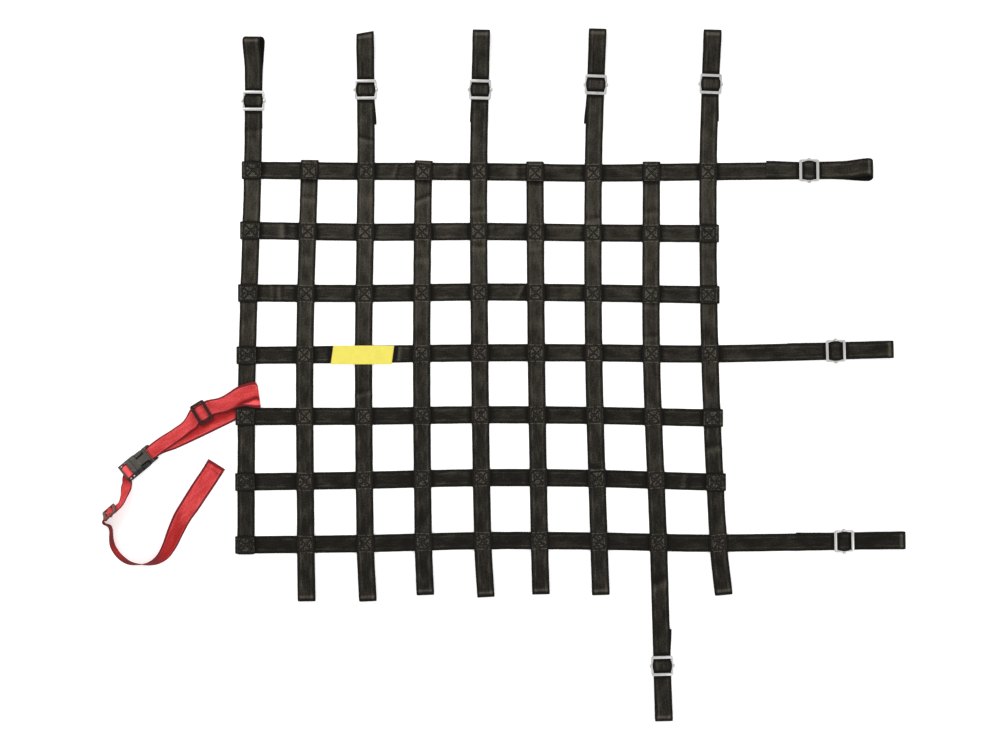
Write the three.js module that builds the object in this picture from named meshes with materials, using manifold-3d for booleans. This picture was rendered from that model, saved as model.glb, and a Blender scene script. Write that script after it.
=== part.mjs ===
// Racing window net of sewn webbing, laid out flat on a table.
// Millimetres. +X is to the right of the net, +Y up it, +Z off the surface; the net rests on z = 0.
// Nine uprights lie over seven cross straps. The odd uprights end in adjustable loops at the top,
// the others are wrapped over the first cross strap, and all but two end in a folded sleeve below.
import * as THREE from "three";
import Module from "manifold-3d";
import { mergeVertices } from "three/addons/utils/BufferGeometryUtils.js";

const wasm = await Module();
wasm.setup();

// Webbing
const WEB_WIDTH = 25;
const WEB_THICK = 1.5;
const GAP = 0.35;
const LAYER = WEB_THICK + GAP;
const FLOOR = WEB_THICK / 2;
const layer = (count) => FLOOR + count * LAYER;

// A strap that passes over another stays up this far from its centre, and then ramps down
const HUMP_HALF = 14.5;
const RAMP = 10;
const FLAP_HALF = 12;
const WRAP_REACH = WEB_WIDTH / 2 + 3.2;
const FOLD_STEPS = 8;
const WRAP_STEPS = 4;
const CURVE_STEPS = 3;
const TAIL_CLEAR = 2;

// Slide buckle: two end bars over the webbing, and a sliding bar under it that hooks round the rails
const BUCKLE = {
  length: 28.4, innerHalf: 13.2, rail: 2.6, endBar: 4, low: 3.8, thick: 2.4, corner: 2.5,
  barHalf: 2, barTop: 2, hook: 1.9, hookLip: 1.2, hookInset: 0.8, reach: 9.6, crest: 2.7,
};
const BAR_LAYER = BUCKLE.barTop + GAP + FLOOR;

// Uprights: X of the centre line at the tip, at cross straps 1, 4 and 7, and at the foot
const UPRIGHTS = [
  { tipX: -357, x1: -359, x4: -366.5, x7: -368.5, footX: -366.5, tipY: 483, footY: -255.5 },
  { tipX: -277, x1: -278, x4: -284.5, x7: -283, footX: -281.5, tipY: 306, footY: -323.5 },
  { tipX: -198, x1: -197, x4: -200.5, x7: -198, footX: -194, tipY: 489, footY: -323.5 },
  { tipX: -114, x1: -115, x4: -117.5, x7: -115, footX: -112, tipY: 306, footY: -314.5 },
  { tipX: -32, x1: -36, x4: -34.5, x7: -30, footX: -25.5, tipY: 493, footY: -317.5 },
  { tipX: 44.5, x1: 44.5, x4: 46.5, x7: 51, footX: 53, tipY: 306, footY: -313.5 },
  { tipX: 134, x1: 128, x4: 128.5, x7: 136, footX: 138.5, tipY: 494.5, footY: -314.5 },
  { tipX: 211, x1: 211, x4: 211, x7: 221, footX: 228.5, tipY: 306, footY: -494.5 },
  { tipX: 298, x1: 292, x4: 294.5, x7: 306.5, footX: 314, tipY: 493, footY: -314.5 },
];
const KNOT_ROWS = { y1: 291, y4: 30, y7: -240 };

// Cross straps: Y of the centre line at uprights 1, 3, 5, 7 and 9, and at the tip of those that run on
const CROSS_STRAPS = [
  { y1: 292.5, y3: 291, y5: 290.5, y7: 288.5, y9: 290.5, tipX: 527, tipY: 293 },
  { y1: 206.5, y3: 204, y5: 205, y7: 203, y9: 202 },
  { y1: 117, y3: 116.5, y5: 118.5, y7: 117, y9: 114.5 },
  { y1: 28, y3: 29.5, y5: 31.5, y7: 31.5, y9: 30, tipX: 556.5, tipY: 36.5 },
  { y1: -59.5, y3: -59, y5: -57, y7: -58, y9: -61.5 },
  { y1: -153, y3: -150.5, y5: -147, y7: -148, y9: -153 },
  { y1: -243, y3: -241, y5: -237, y7: -237.5, y9: -240.5, tipX: 573.5, tipY: -236 },
];
const KNOT_COLUMNS = { y1: -363, y3: -197, y5: -34, y7: 129, y9: 293.5 };

// Adjustable ends: where the buckle sits and the returned tail stops, the loop's bulb radius,
// how far the tail strays sideways, and whether it returns on top
const UPRIGHT_ENDS = {
  1: { outward: 1, buckle: 391.5, tail: 352, bulb: 7, stray: 0.5 },
  3: { outward: 1, buckle: 407.5, tail: 358, bulb: 5.5, stray: 2.5 },
  5: { outward: 1, buckle: 407.5, tail: 361.5, bulb: 5.5, stray: -1 },
  7: { outward: 1, buckle: 414.5, tail: 359, bulb: 5.5, stray: -2.5 },
  8: { outward: -1, buckle: -415.5, tail: -363.5, bulb: 5.5, stray: 2.5 },
  9: { outward: 1, buckle: 415.5, tail: 363, bulb: 5.5, stray: 1.5 },
};
const CROSS_ENDS = {
  1: { outward: 1, buckle: 436, tail: 375, bulb: 7, stray: 2, onTop: true },
  4: { outward: 1, buckle: 474, tail: 406, bulb: 5.5, stray: 0.5 },
  7: { outward: 1, buckle: 486, tail: 418, bulb: 5.5, stray: 1 },
};
const SLEEVED = [2, 3, 4, 5, 6, 7, 9];
const SLEEVE_BULB = 4.5;

// Label sewn on the fourth cross strap, over the third upright
const LABEL = { from: -245.5, to: -158.5, width: 27, thick: 1, slant: 8, y: 28.5 };

// Release strap: its loop holds upright 1 between cross straps 4 and 5
const RED_LIFT_TOP = 3;
const RED = { width: 28, slotWidth: 20, columns: 4 };
const RELEASE = { x: -521.7, y: -125.7, turn: 39 };
const SLIDER = {
  across: 32, along: 22, corner: 3, endBar: 4.2, rail: 3.6, thick: 2.5,
  barHalf: 1.75, barLow: -0.6, barTop: 2,
};
const LOOP_SLIDER = { x: -431.5, y: -54, turn: 31, lean: 0 };
const TAIL_SLIDER = { x: -560, y: -197, turn: 221, lean: 68 };

// Side release buckle, closed, in its own frame: its length along X, the plug at the low end.
// Outlines are half outlines, mirrored in X; bendX and bendY steer a curve to its place.
const RELEASE_HEIGHT = 11;
const SOCKET_BAR = { foldAt: 22.2, low: 2.1, thick: 2.9, steps: 6, slack: 0.2, before: 5.5 };
const SOCKET_OUTLINE = [
  { x: -7, y: 13.6 }, { x: 9, y: 13.4 }, { x: 17, y: 12.6, bendX: 15, bendY: 12.4 },
  { x: 25, y: 12.6 }, { x: 26.6, y: 11, bendX: 26.6, bendY: 12.6 },
];
const SOCKET_CUTS = [
  { x: [18.3, 27], y: [-10.6, 10.6], z: [SOCKET_BAR.low + SOCKET_BAR.thick, 12] },
  { x: [18.3, 27], y: [-10.6, 10.6], z: [-1, SOCKET_BAR.low] },
  { x: [18.3, 22.6], y: [-10.6, 10.6], z: [-1, 12] },
  { x: [24, 27], y: [-14, 14], z: [8, 12] },
  { x: [-8, 13.5], y: [-10.6, 10.6], z: [2.6, 8.4] },
  { x: [1, 15.5], y: [-14, -5.2], z: [1.8, 12] },
  { x: [1, 15.5], y: [5.2, 14], z: [1.8, 12] },
];
const PLUG_ARM = { low: 3, thick: 5 };
const PLUG_ARM_OUTLINE = [
  { x: -8, y: 6.6 }, { x: 11, y: 7.4 }, { x: 12.8, y: 9.6, bendX: 13, bendY: 8 },
  { x: 2, y: 13, bendX: 10, bendY: 13.6 }, { x: 2, y: 10.2 }, { x: -8, y: 10.2 },
];
const PLUG_BLOCKS = [
  { x: [-14, -7.4], y: [-13.7, 13.7], z: [0, RELEASE_HEIGHT] },
  { x: [-8, 11], y: [-2.4, 2.4], z: [3.2, 7.8] },
  { x: [-27, -13.5], y: [-13.7, 13.7], z: [2.6, 7] },
];
const PLUG_SLOTS = [
  { x: [-17.5, -14], y: [-11.6, 11.6], z: [-1, 12] },
  { x: [-24, -20.5], y: [-11.6, 11.6], z: [-1, 12] },
];

// The webbing's way through a slider: under its end bars and over its middle one
const SLIDER_WAY = [
  { along: -12, aside: 0 }, { along: -6.3, aside: 0 }, { along: -2.2, aside: 3.1 },
  { along: 2.2, aside: 3.1 }, { along: 6.3, aside: 0 },
];
const SLIDER_WEB = 24;

// Right part of the release loop: from the slider over upright 1, round it and back underneath
// columns: x, y, layer, turn of the width in plan, width, curl of the section
const LOOP_OUT = [
  { x: -423.4, y: -49.1, level: 1, turn: 121, width: 24, curl: 0 },
  { x: -420.4, y: -47.3, level: 1, turn: 121, width: 24, curl: 0 },
  { x: -414, y: -44, level: 1, turn: 121, width: 23, curl: 3 },
  { x: -402, y: -38.5, level: 1.4, turn: 119, width: 22, curl: 5 },
  { x: -386, y: -30, level: 3, turn: 116, width: 22, curl: 4.5 },
  { x: -376, y: -27.5, level: 3, turn: 113, width: 26, curl: 3 },
  { x: -366, y: -26.5, level: 3, turn: 106, width: 30, curl: 1.5 },
  { x: -356, y: -26, level: 3, turn: 97, width: 33, curl: 0 },
];
const LOOP_FOLD = { x: -352.6, turn: 98, steps: 4 };
const LOOP_BACK = [
  { x: -356, y: -33, level: 0, turn: 100, width: 26, curl: 0 },
  { x: -366, y: -38.5, level: 0, turn: 109, width: 27, curl: 0 },
  { x: -388, y: -52, level: 0, turn: 116, width: 27, curl: 0 },
  { x: -415, y: -65.5, level: 0, turn: 116, width: 27, curl: 0 },
  { x: -446, y: -81, level: 0, turn: 117, width: 26, curl: 0 },
  { x: -474, y: -95, level: 0, turn: 121, width: 24, curl: 0 },
];
const LOOP_END_REACH = 8.6;
const LOOP_NEAR = [
  { x: -486, y: -97.5, level: 1.6, turn: 127, width: 20, curl: 3 },
  { x: -468, y: -85.5, level: 1.1, turn: 124, width: 19, curl: 5 },
  { x: -450, y: -71, level: 1, turn: 122, width: 20, curl: 4 },
  { x: -445.5, y: -66, level: 1, turn: 121, width: 22, curl: 2 },
];

// Start of the free end, in the buckle's own frame: up between the plug's body and its middle bar,
// over that bar, down under the outer one, and then swinging round towards the slider
const TAIL_THREADING = [
  { along: -15.2, aside: 0.8, height: 3, width: 20.6, swing: 0 },
  { along: -15.2, aside: 0.8, height: 6, width: 20.6, swing: 0 },
  { along: -16.3, aside: 0.8, height: 7.7, width: 20.6, swing: 0 },
  { along: -18.8, aside: 0.7, height: 8.4, width: 20.6, swing: 0 },
  { along: -21.1, aside: 0.3, height: 8, width: 20, swing: 0 },
  { along: -22.4, aside: -0.6, height: 6.4, width: 18, swing: 0 },
  { along: -22.4, aside: -1.8, height: 4, width: 16, swing: 0 },
  { along: -22.8, aside: -3, height: 2, width: 15, swing: 0 },
  { along: -24.3, aside: -4.4, height: 1.2, width: 14, swing: 0 },
  { along: -26.9, aside: -5.9, height: 1, width: 13, swing: 20 },
  { along: -29, aside: -8, height: 0.9, width: 13, swing: 41 },
  { along: -30.3, aside: -10.8, height: 0.85, width: 14, swing: 60 },
];

// Free end of the release strap: centre line in plan and lean of the webbing,
// 90 standing on its edge, under 90 leaning to the inside of its bend, 0 lying flat
const TAIL_RUN = [
  { x: -538.7, y: -157, lean: 8, width: 15 },
  { x: -539.1, y: -160.2, lean: 21, width: 17 },
  { x: -539.7, y: -163.6, lean: 34, width: 19 },
  { x: -540.5, y: -167.4, lean: 46, width: 21 },
  { x: -541.6, y: -172, lean: 56, width: 23 },
  { x: -543.4, y: -178, lean: 63, width: 25 },
  { x: -546, y: -183.8, lean: 67, width: 25 },
];
const TAIL_DROP = [
  { x: -570.8, y: -206.8, lean: 82, width: 26 },
  { x: -570.6, y: -210.2, lean: 87, width: 27 },
  { x: -568, y: -212.9, lean: 88, width: 28 },
  { x: -564.3, y: -213.8, lean: 90, width: 28 },
  { x: -561.2, y: -216, lean: 90, width: 28 },
  { x: -559.4, y: -221.5, lean: 90, width: 28 },
  { x: -559.2, y: -231, lean: 92, width: 28 },
  { x: -557.5, y: -242, lean: 95, width: 28 },
  { x: -552, y: -252.5, lean: 96, width: 28 },
  { x: -543, y: -262, lean: 96, width: 28 },
  { x: -532.5, y: -268, lean: 93, width: 28 },
  { x: -519.5, y: -270, lean: 87, width: 28 },
  { x: -506.5, y: -269.5, lean: 79, width: 28 },
  { x: -496, y: -266, lean: 70, width: 28 },
  { x: -487, y: -259.5, lean: 61, width: 28 },
  { x: -477.5, y: -245, lean: 51, width: 28 },
  { x: -469, y: -225, lean: 41, width: 28 },
  { x: -459, y: -203.5, lean: 31, width: 28 },
  { x: -447.5, y: -185.5, lean: 20, width: 28 },
  { x: -434.5, y: -165, lean: 9, width: 28 },
  { x: -420, y: -143, lean: 0, width: 28 },
  { x: -411.5, y: -129.5, lean: 0, width: 28 },
];
const HEM = { past: 1, length: 9, bulb: 0.95 };

// Colours and finishes
const FINISH = {
  webbing: { color: 0x33302a, roughness: 0.85, metalness: 0 },
  release: { color: 0xc8383f, roughness: 0.75, metalness: 0 },
  steel: { color: 0xc9c8c4, roughness: 0.32, metalness: 1 },
  plastic: { color: 0x2b2927, roughness: 0.5, metalness: 0 },
  label: { color: 0xe4da5c, roughness: 0.6, metalness: 0 },
};

const net = new THREE.Group();
const radians = THREE.MathUtils.degToRad;
const reversed = (points) => [...points].reverse();

// The leaning slider's middle is this high, with its lower long edge on the floor
const TAIL_SLIDER_HEIGHT = (SLIDER.across / 2) * Math.sin(radians(TAIL_SLIDER.lean))
  - (FLOOR + GAP) * Math.cos(radians(TAIL_SLIDER.lean));

function addMesh(name, geometry, finish) {
  const mesh = new THREE.Mesh(geometry, new THREE.MeshStandardMaterial(FINISH[finish]));
  mesh.name = name;
  net.add(mesh);
  return mesh;
}

// Smooth line through a few knots, as a function of the place along it
function smoothLine(knots) {
  const sorted = [...knots].sort((a, b) => a[0] - b[0]);
  const last = sorted.length - 1;
  const slopeAt = (i) => {
    const before = sorted[Math.max(i - 1, 0)];
    const after = sorted[Math.min(i + 1, last)];
    return (after[1] - before[1]) / (after[0] - before[0]);
  };
  return (along) => {
    let i = 0;
    while (i < last - 1 && along > sorted[i + 1][0]) i += 1;
    const [start, from] = sorted[i];
    const [stop, to] = sorted[i + 1];
    const span = stop - start;
    const t = THREE.MathUtils.clamp((along - start) / span, 0, 1);
    const ease = t * t * (3 - 2 * t);
    const lead = slopeAt(i) * span * t * (1 - t) * (1 - t);
    const trail = slopeAt(i + 1) * span * t * t * (1 - t);
    return from + (to - from) * ease + lead - trail;
  };
}

// Flat webbing through stations: { point, across, width, curl }, with a mitre at each bend
function ribbon(name, stations, finish, thick = WEB_THICK, columns = 1) {
  const last = stations.length - 1;
  const faceNormal = (i, across) => (
    stations[i + 1].point.clone().sub(stations[i].point).cross(across).normalize()
  );
  const frames = stations.map((station, i) => {
    const before = faceNormal(Math.max(i - 1, 0), station.across);
    const after = faceNormal(Math.min(i, last - 1), station.across);
    const up = before.clone().add(after).normalize();
    return { curl: 0, ...station, up, mitre: 1 / up.dot(before) };
  });
  const geometry = new THREE.BoxGeometry(1, 1, 1, last, columns, 1);
  const position = geometry.attributes.position;
  for (let i = 0; i < position.count; i += 1) {
    const frame = frames[Math.round((position.getX(i) + 0.5) * last)];
    const side = position.getY(i);
    const lift = position.getZ(i) * thick * frame.mitre + frame.curl * (1 - 4 * side * side);
    const point = frame.point.clone();
    point.addScaledVector(frame.across, side * frame.width);
    point.addScaledVector(frame.up, lift);
    position.setXYZ(i, point.x, point.y, point.z);
  }
  return addMesh(name, geometry, finish);
}

// Stations of a strap from its side profile and its line in plan
function strapStations(profile, line, upright) {
  return profile.map(({ along, height, stray = 0 }) => {
    const slope = (line(along + 1) - line(along - 1)) / 2;
    const aside = line(along) + stray;
    const point = upright ? [aside, along, height] : [along, aside, height];
    const across = upright ? [1, -slope, 0] : [-slope, 1, 0];
    return {
      point: new THREE.Vector3(...point),
      across: new THREE.Vector3(...across).normalize(),
      width: WEB_WIDTH,
    };
  });
}

// Half turn of the webbing at its outermost place, from the low layer to the high one
function fold(tip, outward, low, high, steps = FOLD_STEPS) {
  const radius = (high - low) / 2;
  const centre = tip - outward * (radius + WEB_THICK / 2);
  return Array.from({ length: steps + 1 }, (_, i) => {
    const angle = Math.PI * (i / steps - 0.5);
    return {
      along: centre + outward * radius * Math.cos(angle),
      height: low + radius * (1 + Math.sin(angle)),
    };
  });
}

// Soft descent of a bulb's upper layer, between its crest and where it lies flat
function descent(crest, flat, high, low, steps = 5) {
  return Array.from({ length: steps - 1 }, (_, i) => {
    const t = (i + 1) / steps;
    return { along: crest + (flat - crest) * t, height: high + (low - high) * t * t * (3 - 2 * t) };
  });
}

function hump(at, level) {
  const top = layer(level);
  return [
    { along: at - HUMP_HALF - RAMP * level, height: FLOOR },
    { along: at - HUMP_HALF, height: top },
    { along: at + HUMP_HALF, height: top },
    { along: at + HUMP_HALF + RAMP * level, height: FLOOR },
  ];
}

// One layer over the sliding bar of a buckle, in rising order
function overBar(at, level) {
  return [
    { along: at - BUCKLE.reach, height: layer(level) },
    { along: at - BUCKLE.crest, height: BAR_LAYER + level * LAYER },
    { along: at + BUCKLE.crest, height: BAR_LAYER + level * LAYER },
    { along: at + BUCKLE.reach, height: layer(level) },
  ];
}

// From the net out through the buckle, round the loop and back to the end of the tail
function adjustableEnd(tip, { outward, buckle, tail, bulb, stray, onTop }) {
  const crest = FLOOR + 2 * bulb;
  const crestAt = tip - outward * (bulb + WEB_THICK / 2);
  const flatAt = buckle + outward * (BUCKLE.length / 2 + 1);
  const outwards = (points) => (outward > 0 ? points : reversed(points));
  const lower = outwards(overBar(buckle, 0));
  const upper = [
    ...outwards(overBar(buckle, 1)),
    { along: flatAt, height: layer(1) },
    ...descent(flatAt, crestAt, layer(1), crest),
  ];
  const turn = fold(tip, outward, FLOOR, crest);
  const tailEnd = { along: tail, height: layer(onTop ? 1 : 0), stray };
  if (onTop) {
    return [...lower, ...turn, ...reversed(upper), tailEnd];
  }
  const climb = [
    { along: tail - outward * (RAMP + TAIL_CLEAR), height: FLOOR },
    { along: tail - outward * TAIL_CLEAR, height: layer(1) },
  ];
  return [...climb, ...upper, ...reversed(turn), ...reversed(lower), tailEnd];
}

// Strap end wrapped round the edge of the strap that it passes under, and sewn on top of it
function wrapEnd(at, outward, base = 0) {
  const turn = fold(at + outward * WRAP_REACH, outward, layer(base), layer(base + 2), WRAP_STEPS);
  return [...turn, { along: at - outward * FLAP_HALF, height: layer(base + 2) }];
}

// Sleeve for a rod: the strap returns behind the last cross strap
function sleeveEnd(foot, rowY) {
  const crest = FLOOR + 2 * SLEEVE_BULB;
  const crestAt = foot + SLEEVE_BULB + WEB_THICK / 2;
  return [
    { along: rowY + FLAP_HALF, height: FLOOR },
    ...fold(foot, -1, FLOOR, crest),
    ...descent(crestAt, rowY - HUMP_HALF, crest, layer(2)),
    ...hump(rowY, 2).slice(1),
  ];
}

const uprightLines = UPRIGHTS.map((strap) => smoothLine([
  [strap.footY, strap.footX], [KNOT_ROWS.y7, strap.x7], [KNOT_ROWS.y4, strap.x4],
  [KNOT_ROWS.y1, strap.x1], [Math.max(strap.tipY, KNOT_ROWS.y1 + RAMP), strap.tipX],
]));
const crossLines = CROSS_STRAPS.map((strap) => smoothLine([
  ...Object.entries(KNOT_COLUMNS).map(([column, x]) => [x, strap[column]]),
  [strap.tipX ?? KNOT_COLUMNS.y9 + 2 * WEB_WIDTH, strap.tipY ?? strap.y9],
]));

// Where upright i and cross strap j meet, counted from 1
function meeting(i, j) {
  const y = crossLines[j - 1](uprightLines[i - 1](CROSS_STRAPS[j - 1].y5));
  return { x: uprightLines[i - 1](y), y };
}

function uprightProfile(i) {
  const { tipY, footY } = UPRIGHTS[i - 1];
  const rowY = (j) => meeting(i, j).y;
  const ends = UPRIGHT_ENDS[i];
  const profile = [];
  if (ends && ends.outward < 0) {
    profile.push(...reversed(adjustableEnd(footY, ends)), ...hump(rowY(7), 1));
  } else if (SLEEVED.includes(i)) {
    profile.push(...sleeveEnd(footY, rowY(7)));
  } else {
    profile.push({ along: footY, height: layer(1) }, ...hump(rowY(7), 1).slice(2));
  }
  for (let j = 6; j >= 2; j -= 1) {
    const lifted = i === 1 && j === 5;
    const follows = i === 1 && j === 4;
    const rise = hump(rowY(j), lifted ? 2 : 1);
    if (lifted) {
      profile.push(...rise.slice(0, 2), { along: RED_LIFT_TOP, height: layer(2) });
    } else {
      profile.push(...(follows ? rise.slice(1) : rise));
    }
  }
  if (ends && ends.outward > 0) {
    profile.push(...hump(rowY(1), 1), ...adjustableEnd(tipY, ends));
  } else {
    profile.push(...wrapEnd(rowY(1), 1));
  }
  return profile;
}

function crossProfile(j) {
  const { tipX } = CROSS_STRAPS[j - 1];
  const columnX = (i) => meeting(i, j).x;
  const base = j === 5 ? 1 : 0;
  const profile = reversed(wrapEnd(columnX(1), -1, base));
  profile.push({ along: columnX(1) + HUMP_HALF, height: layer(base) });
  if (base > 0) {
    profile.push({ along: columnX(1) + HUMP_HALF + RAMP, height: FLOOR });
  }
  for (let i = 2; i <= 9; i += 1) {
    const raised = (j === 1 && i % 2 === 0) || (j === 7 && SLEEVED.includes(i));
    if (raised) {
      profile.push(...hump(columnX(i), 1));
    } else {
      profile.push({ along: columnX(i), height: FLOOR });
    }
  }
  profile.push(...(tipX ? adjustableEnd(tipX, CROSS_ENDS[j]) : wrapEnd(columnX(9), 1)));
  return profile;
}

// Rectangle with rounded corners about the origin, drawn on a shape or a hole's path
function roundedRectangle(target, halfWidth, halfLength, corner) {
  target.moveTo(halfWidth - corner, -halfLength);
  target.absarc(halfWidth - corner, corner - halfLength, corner, -Math.PI / 2, 0, false);
  target.absarc(halfWidth - corner, halfLength - corner, corner, 0, Math.PI / 2, false);
  target.absarc(corner - halfWidth, halfLength - corner, corner, Math.PI / 2, Math.PI, false);
  target.absarc(corner - halfWidth, corner - halfLength, corner, Math.PI, Math.PI * 1.5, false);
  return target;
}

function slab(shape, low, thick) {
  const options = { depth: thick, bevelEnabled: false, curveSegments: CURVE_STEPS };
  const geometry = new THREE.ExtrudeGeometry(shape, options);
  return geometry.translate(0, 0, low);
}

function block(x, y, z) {
  const geometry = new THREE.BoxGeometry(x[1] - x[0], y[1] - y[0], z[1] - z[0]);
  return geometry.translate((x[0] + x[1]) / 2, (y[0] + y[1]) / 2, (z[0] + z[1]) / 2);
}

function toSolid(geometry) {
  const bare = geometry.clone();
  bare.deleteAttribute("normal");
  bare.deleteAttribute("uv");
  const merged = mergeVertices(bare, 1e-4);
  const vertProperties = new Float32Array(merged.attributes.position.array);
  const triVerts = new Uint32Array(merged.index.array);
  return new wasm.Manifold(new wasm.Mesh({ numProp: 3, vertProperties, triVerts }));
}

function toGeometry(solid) {
  const mesh = solid.getMesh();
  const geometry = new THREE.BufferGeometry();
  geometry.setAttribute("position", new THREE.BufferAttribute(new Float32Array(mesh.vertProperties), 3));
  geometry.setIndex([...mesh.triVerts]);
  return geometry;
}

// Adds the first geometry and all the others, and takes the cuts away
function join(added, cut = []) {
  const whole = added.map(toSolid).reduce((sum, next) => sum.add(next));
  return toGeometry(cut.map(toSolid).reduce((rest, next) => rest.subtract(next), whole));
}

// Frame of a slide buckle, its length along Y, over the webbing
function buckleFrame() {
  const outer = roundedRectangle(
    new THREE.Shape(), BUCKLE.innerHalf + BUCKLE.rail, BUCKLE.length / 2, BUCKLE.corner,
  );
  const window = roundedRectangle(
    new THREE.Path(), BUCKLE.innerHalf, BUCKLE.length / 2 - BUCKLE.endBar, 1,
  );
  outer.holes.push(window);
  return slab(outer, BUCKLE.low, BUCKLE.thick);
}

// Sliding bar: a flat bar under the webbing with ends hooked up and over both rails
function slidingBar() {
  const inside = BUCKLE.innerHalf + BUCKLE.rail + GAP;
  const outside = inside + BUCKLE.hook;
  const underHook = BUCKLE.low + BUCKLE.thick + GAP;
  const top = underHook + BUCKLE.hookLip;
  const lipEnd = BUCKLE.innerHalf + BUCKLE.hookInset;
  const right = [
    [outside, 0], [outside, top - BUCKLE.hookInset], [outside - BUCKLE.hookInset, top], [lipEnd, top],
    [lipEnd, underHook], [inside, underHook], [inside, BUCKLE.barTop],
  ];
  const left = reversed(right).map(([x, z]) => [-x, z]);
  const outline = new THREE.Shape([...right, ...left].map(([x, z]) => new THREE.Vector2(x, z)));
  const geometry = slab(outline, -BUCKLE.barHalf, 2 * BUCKLE.barHalf);
  return geometry.rotateX(Math.PI / 2);
}

function addBuckle(strapName, x, y, turn) {
  for (const [name, geometry] of [["frame", buckleFrame()], ["slide_bar", slidingBar()]]) {
    const mesh = addMesh(`${name}_${strapName}`, geometry, "steel");
    mesh.position.set(x, y, 0);
    mesh.rotation.z = turn;
  }
}

// Webbing slider with its length along X; the webbing's own centre plane is at z = 0
function webSlider() {
  const outer = roundedRectangle(new THREE.Shape(), SLIDER.along / 2, SLIDER.across / 2, SLIDER.corner);
  const window = roundedRectangle(
    new THREE.Path(), SLIDER.along / 2 - SLIDER.endBar, SLIDER.across / 2 - SLIDER.rail, 1,
  );
  outer.holes.push(window);
  const overRail = SLIDER.across / 2 - SLIDER.rail / 2;
  const bar = block(
    [-SLIDER.barHalf, SLIDER.barHalf], [-overRail, overRail], [SLIDER.barLow, SLIDER.barTop],
  );
  return join([slab(outer, FLOOR + GAP, SLIDER.thick), bar]);
}

// The path or shape, drawn through the places, curved where a place gives its bend
function drawn(path, [first, ...rest]) {
  path.moveTo(first.x, first.y);
  for (const { x, y, bendX, bendY } of rest) {
    if (bendX === undefined) {
      path.lineTo(x, y);
    } else {
      path.quadraticCurveTo(bendX, bendY, x, y);
    }
  }
  return path;
}

const tableBlock = ({ x, y, z }) => block(x, y, z);

function releaseSocket() {
  const half = drawn(new THREE.Path(), SOCKET_OUTLINE).getPoints(CURVE_STEPS);
  const mirrored = reversed(half).map(({ x, y }) => new THREE.Vector2(x, -y));
  const whole = new THREE.Shape([...half, ...mirrored]);
  return join([slab(whole, 0, RELEASE_HEIGHT)], SOCKET_CUTS.map(tableBlock));
}

function releasePlug() {
  const arm = drawn(new THREE.Shape(), PLUG_ARM_OUTLINE);
  const upperArm = slab(arm, PLUG_ARM.low, PLUG_ARM.thick);
  const lowerArm = upperArm.clone().rotateX(Math.PI).translate(0, 0, RELEASE_HEIGHT);
  return join([...PLUG_BLOCKS.map(tableBlock), upperArm, lowerArm], PLUG_SLOTS.map(tableBlock));
}

// Takes a place in the release buckle's own frame, its length along X, to the net's frame
function atRelease(along, aside, height) {
  const turn = radians(RELEASE.turn);
  return new THREE.Vector3(
    RELEASE.x + along * Math.cos(turn) - aside * Math.sin(turn),
    RELEASE.y + along * Math.sin(turn) + aside * Math.cos(turn),
    height,
  );
}

function planVector(degrees) {
  return new THREE.Vector3(Math.cos(radians(degrees)), Math.sin(radians(degrees)), 0);
}

const redStation = ({ x, y, level, turn, width, curl }) => (
  { point: new THREE.Vector3(x, y, layer(level)), across: planVector(turn), width, curl }
);

// Stations of the webbing through a slider that lies flat, or leans on its long edge
function throughSlider(slider, height, reach) {
  const lean = radians(slider.lean);
  const side = planVector(slider.turn + 90);
  const across = side.clone().multiplyScalar(Math.cos(lean)).setZ(Math.sin(lean));
  const bulge = side.clone().multiplyScalar(-Math.sin(lean)).setZ(Math.cos(lean));
  const way = [...SLIDER_WAY, { along: reach, aside: 0 }];
  return way.map(({ along, aside }) => ({
    point: new THREE.Vector3(slider.x, slider.y, height)
      .addScaledVector(planVector(slider.turn), along)
      .addScaledVector(bulge, aside),
    across,
    width: SLIDER_WEB,
  }));
}

function releaseLoop() {
  const edge = LOOP_OUT.at(-1);
  const under = LOOP_BACK[0];
  const middle = (layer(edge.level) + layer(under.level)) / 2;
  const radius = (layer(edge.level) - layer(under.level)) / 2;
  const aroundUpright = Array.from({ length: LOOP_FOLD.steps + 1 }, (_, i) => {
    const t = i / LOOP_FOLD.steps;
    const angle = Math.PI * (0.5 - t);
    const x = LOOP_FOLD.x + radius * Math.cos(angle);
    const y = edge.y + (under.y - edge.y) * t;
    const point = new THREE.Vector3(x, y, middle + radius * Math.sin(angle));
    const width = edge.width + (under.width - edge.width) * t;
    return { point, across: planVector(LOOP_FOLD.turn), width };
  });
  const barTop = SOCKET_BAR.low + SOCKET_BAR.thick + GAP + FLOOR + SOCKET_BAR.slack;
  const aroundBar = fold(0, 1, FLOOR, barTop, SOCKET_BAR.steps).map(({ along, height }) => ({
    point: atRelease(SOCKET_BAR.foldAt - FLOOR - (barTop - FLOOR) / 2 - along, 0, height),
    across: planVector(RELEASE.turn + 90),
    width: RED.slotWidth,
  }));
  const beforeBar = SOCKET_BAR.foldAt + SOCKET_BAR.before;
  const leaving = { ...aroundBar[0], point: atRelease(beforeBar, 0, FLOOR) };
  const arriving = { ...leaving, point: atRelease(beforeBar, 0, barTop) };
  const stations = [
    ...LOOP_OUT.map(redStation), ...aroundUpright, ...LOOP_BACK.map(redStation),
    leaving, ...aroundBar, arriving, ...LOOP_NEAR.map(redStation),
    ...throughSlider(LOOP_SLIDER, layer(1), LOOP_END_REACH),
  ];
  ribbon("release_loop", stations, "release", WEB_THICK, RED.columns);
}

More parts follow.
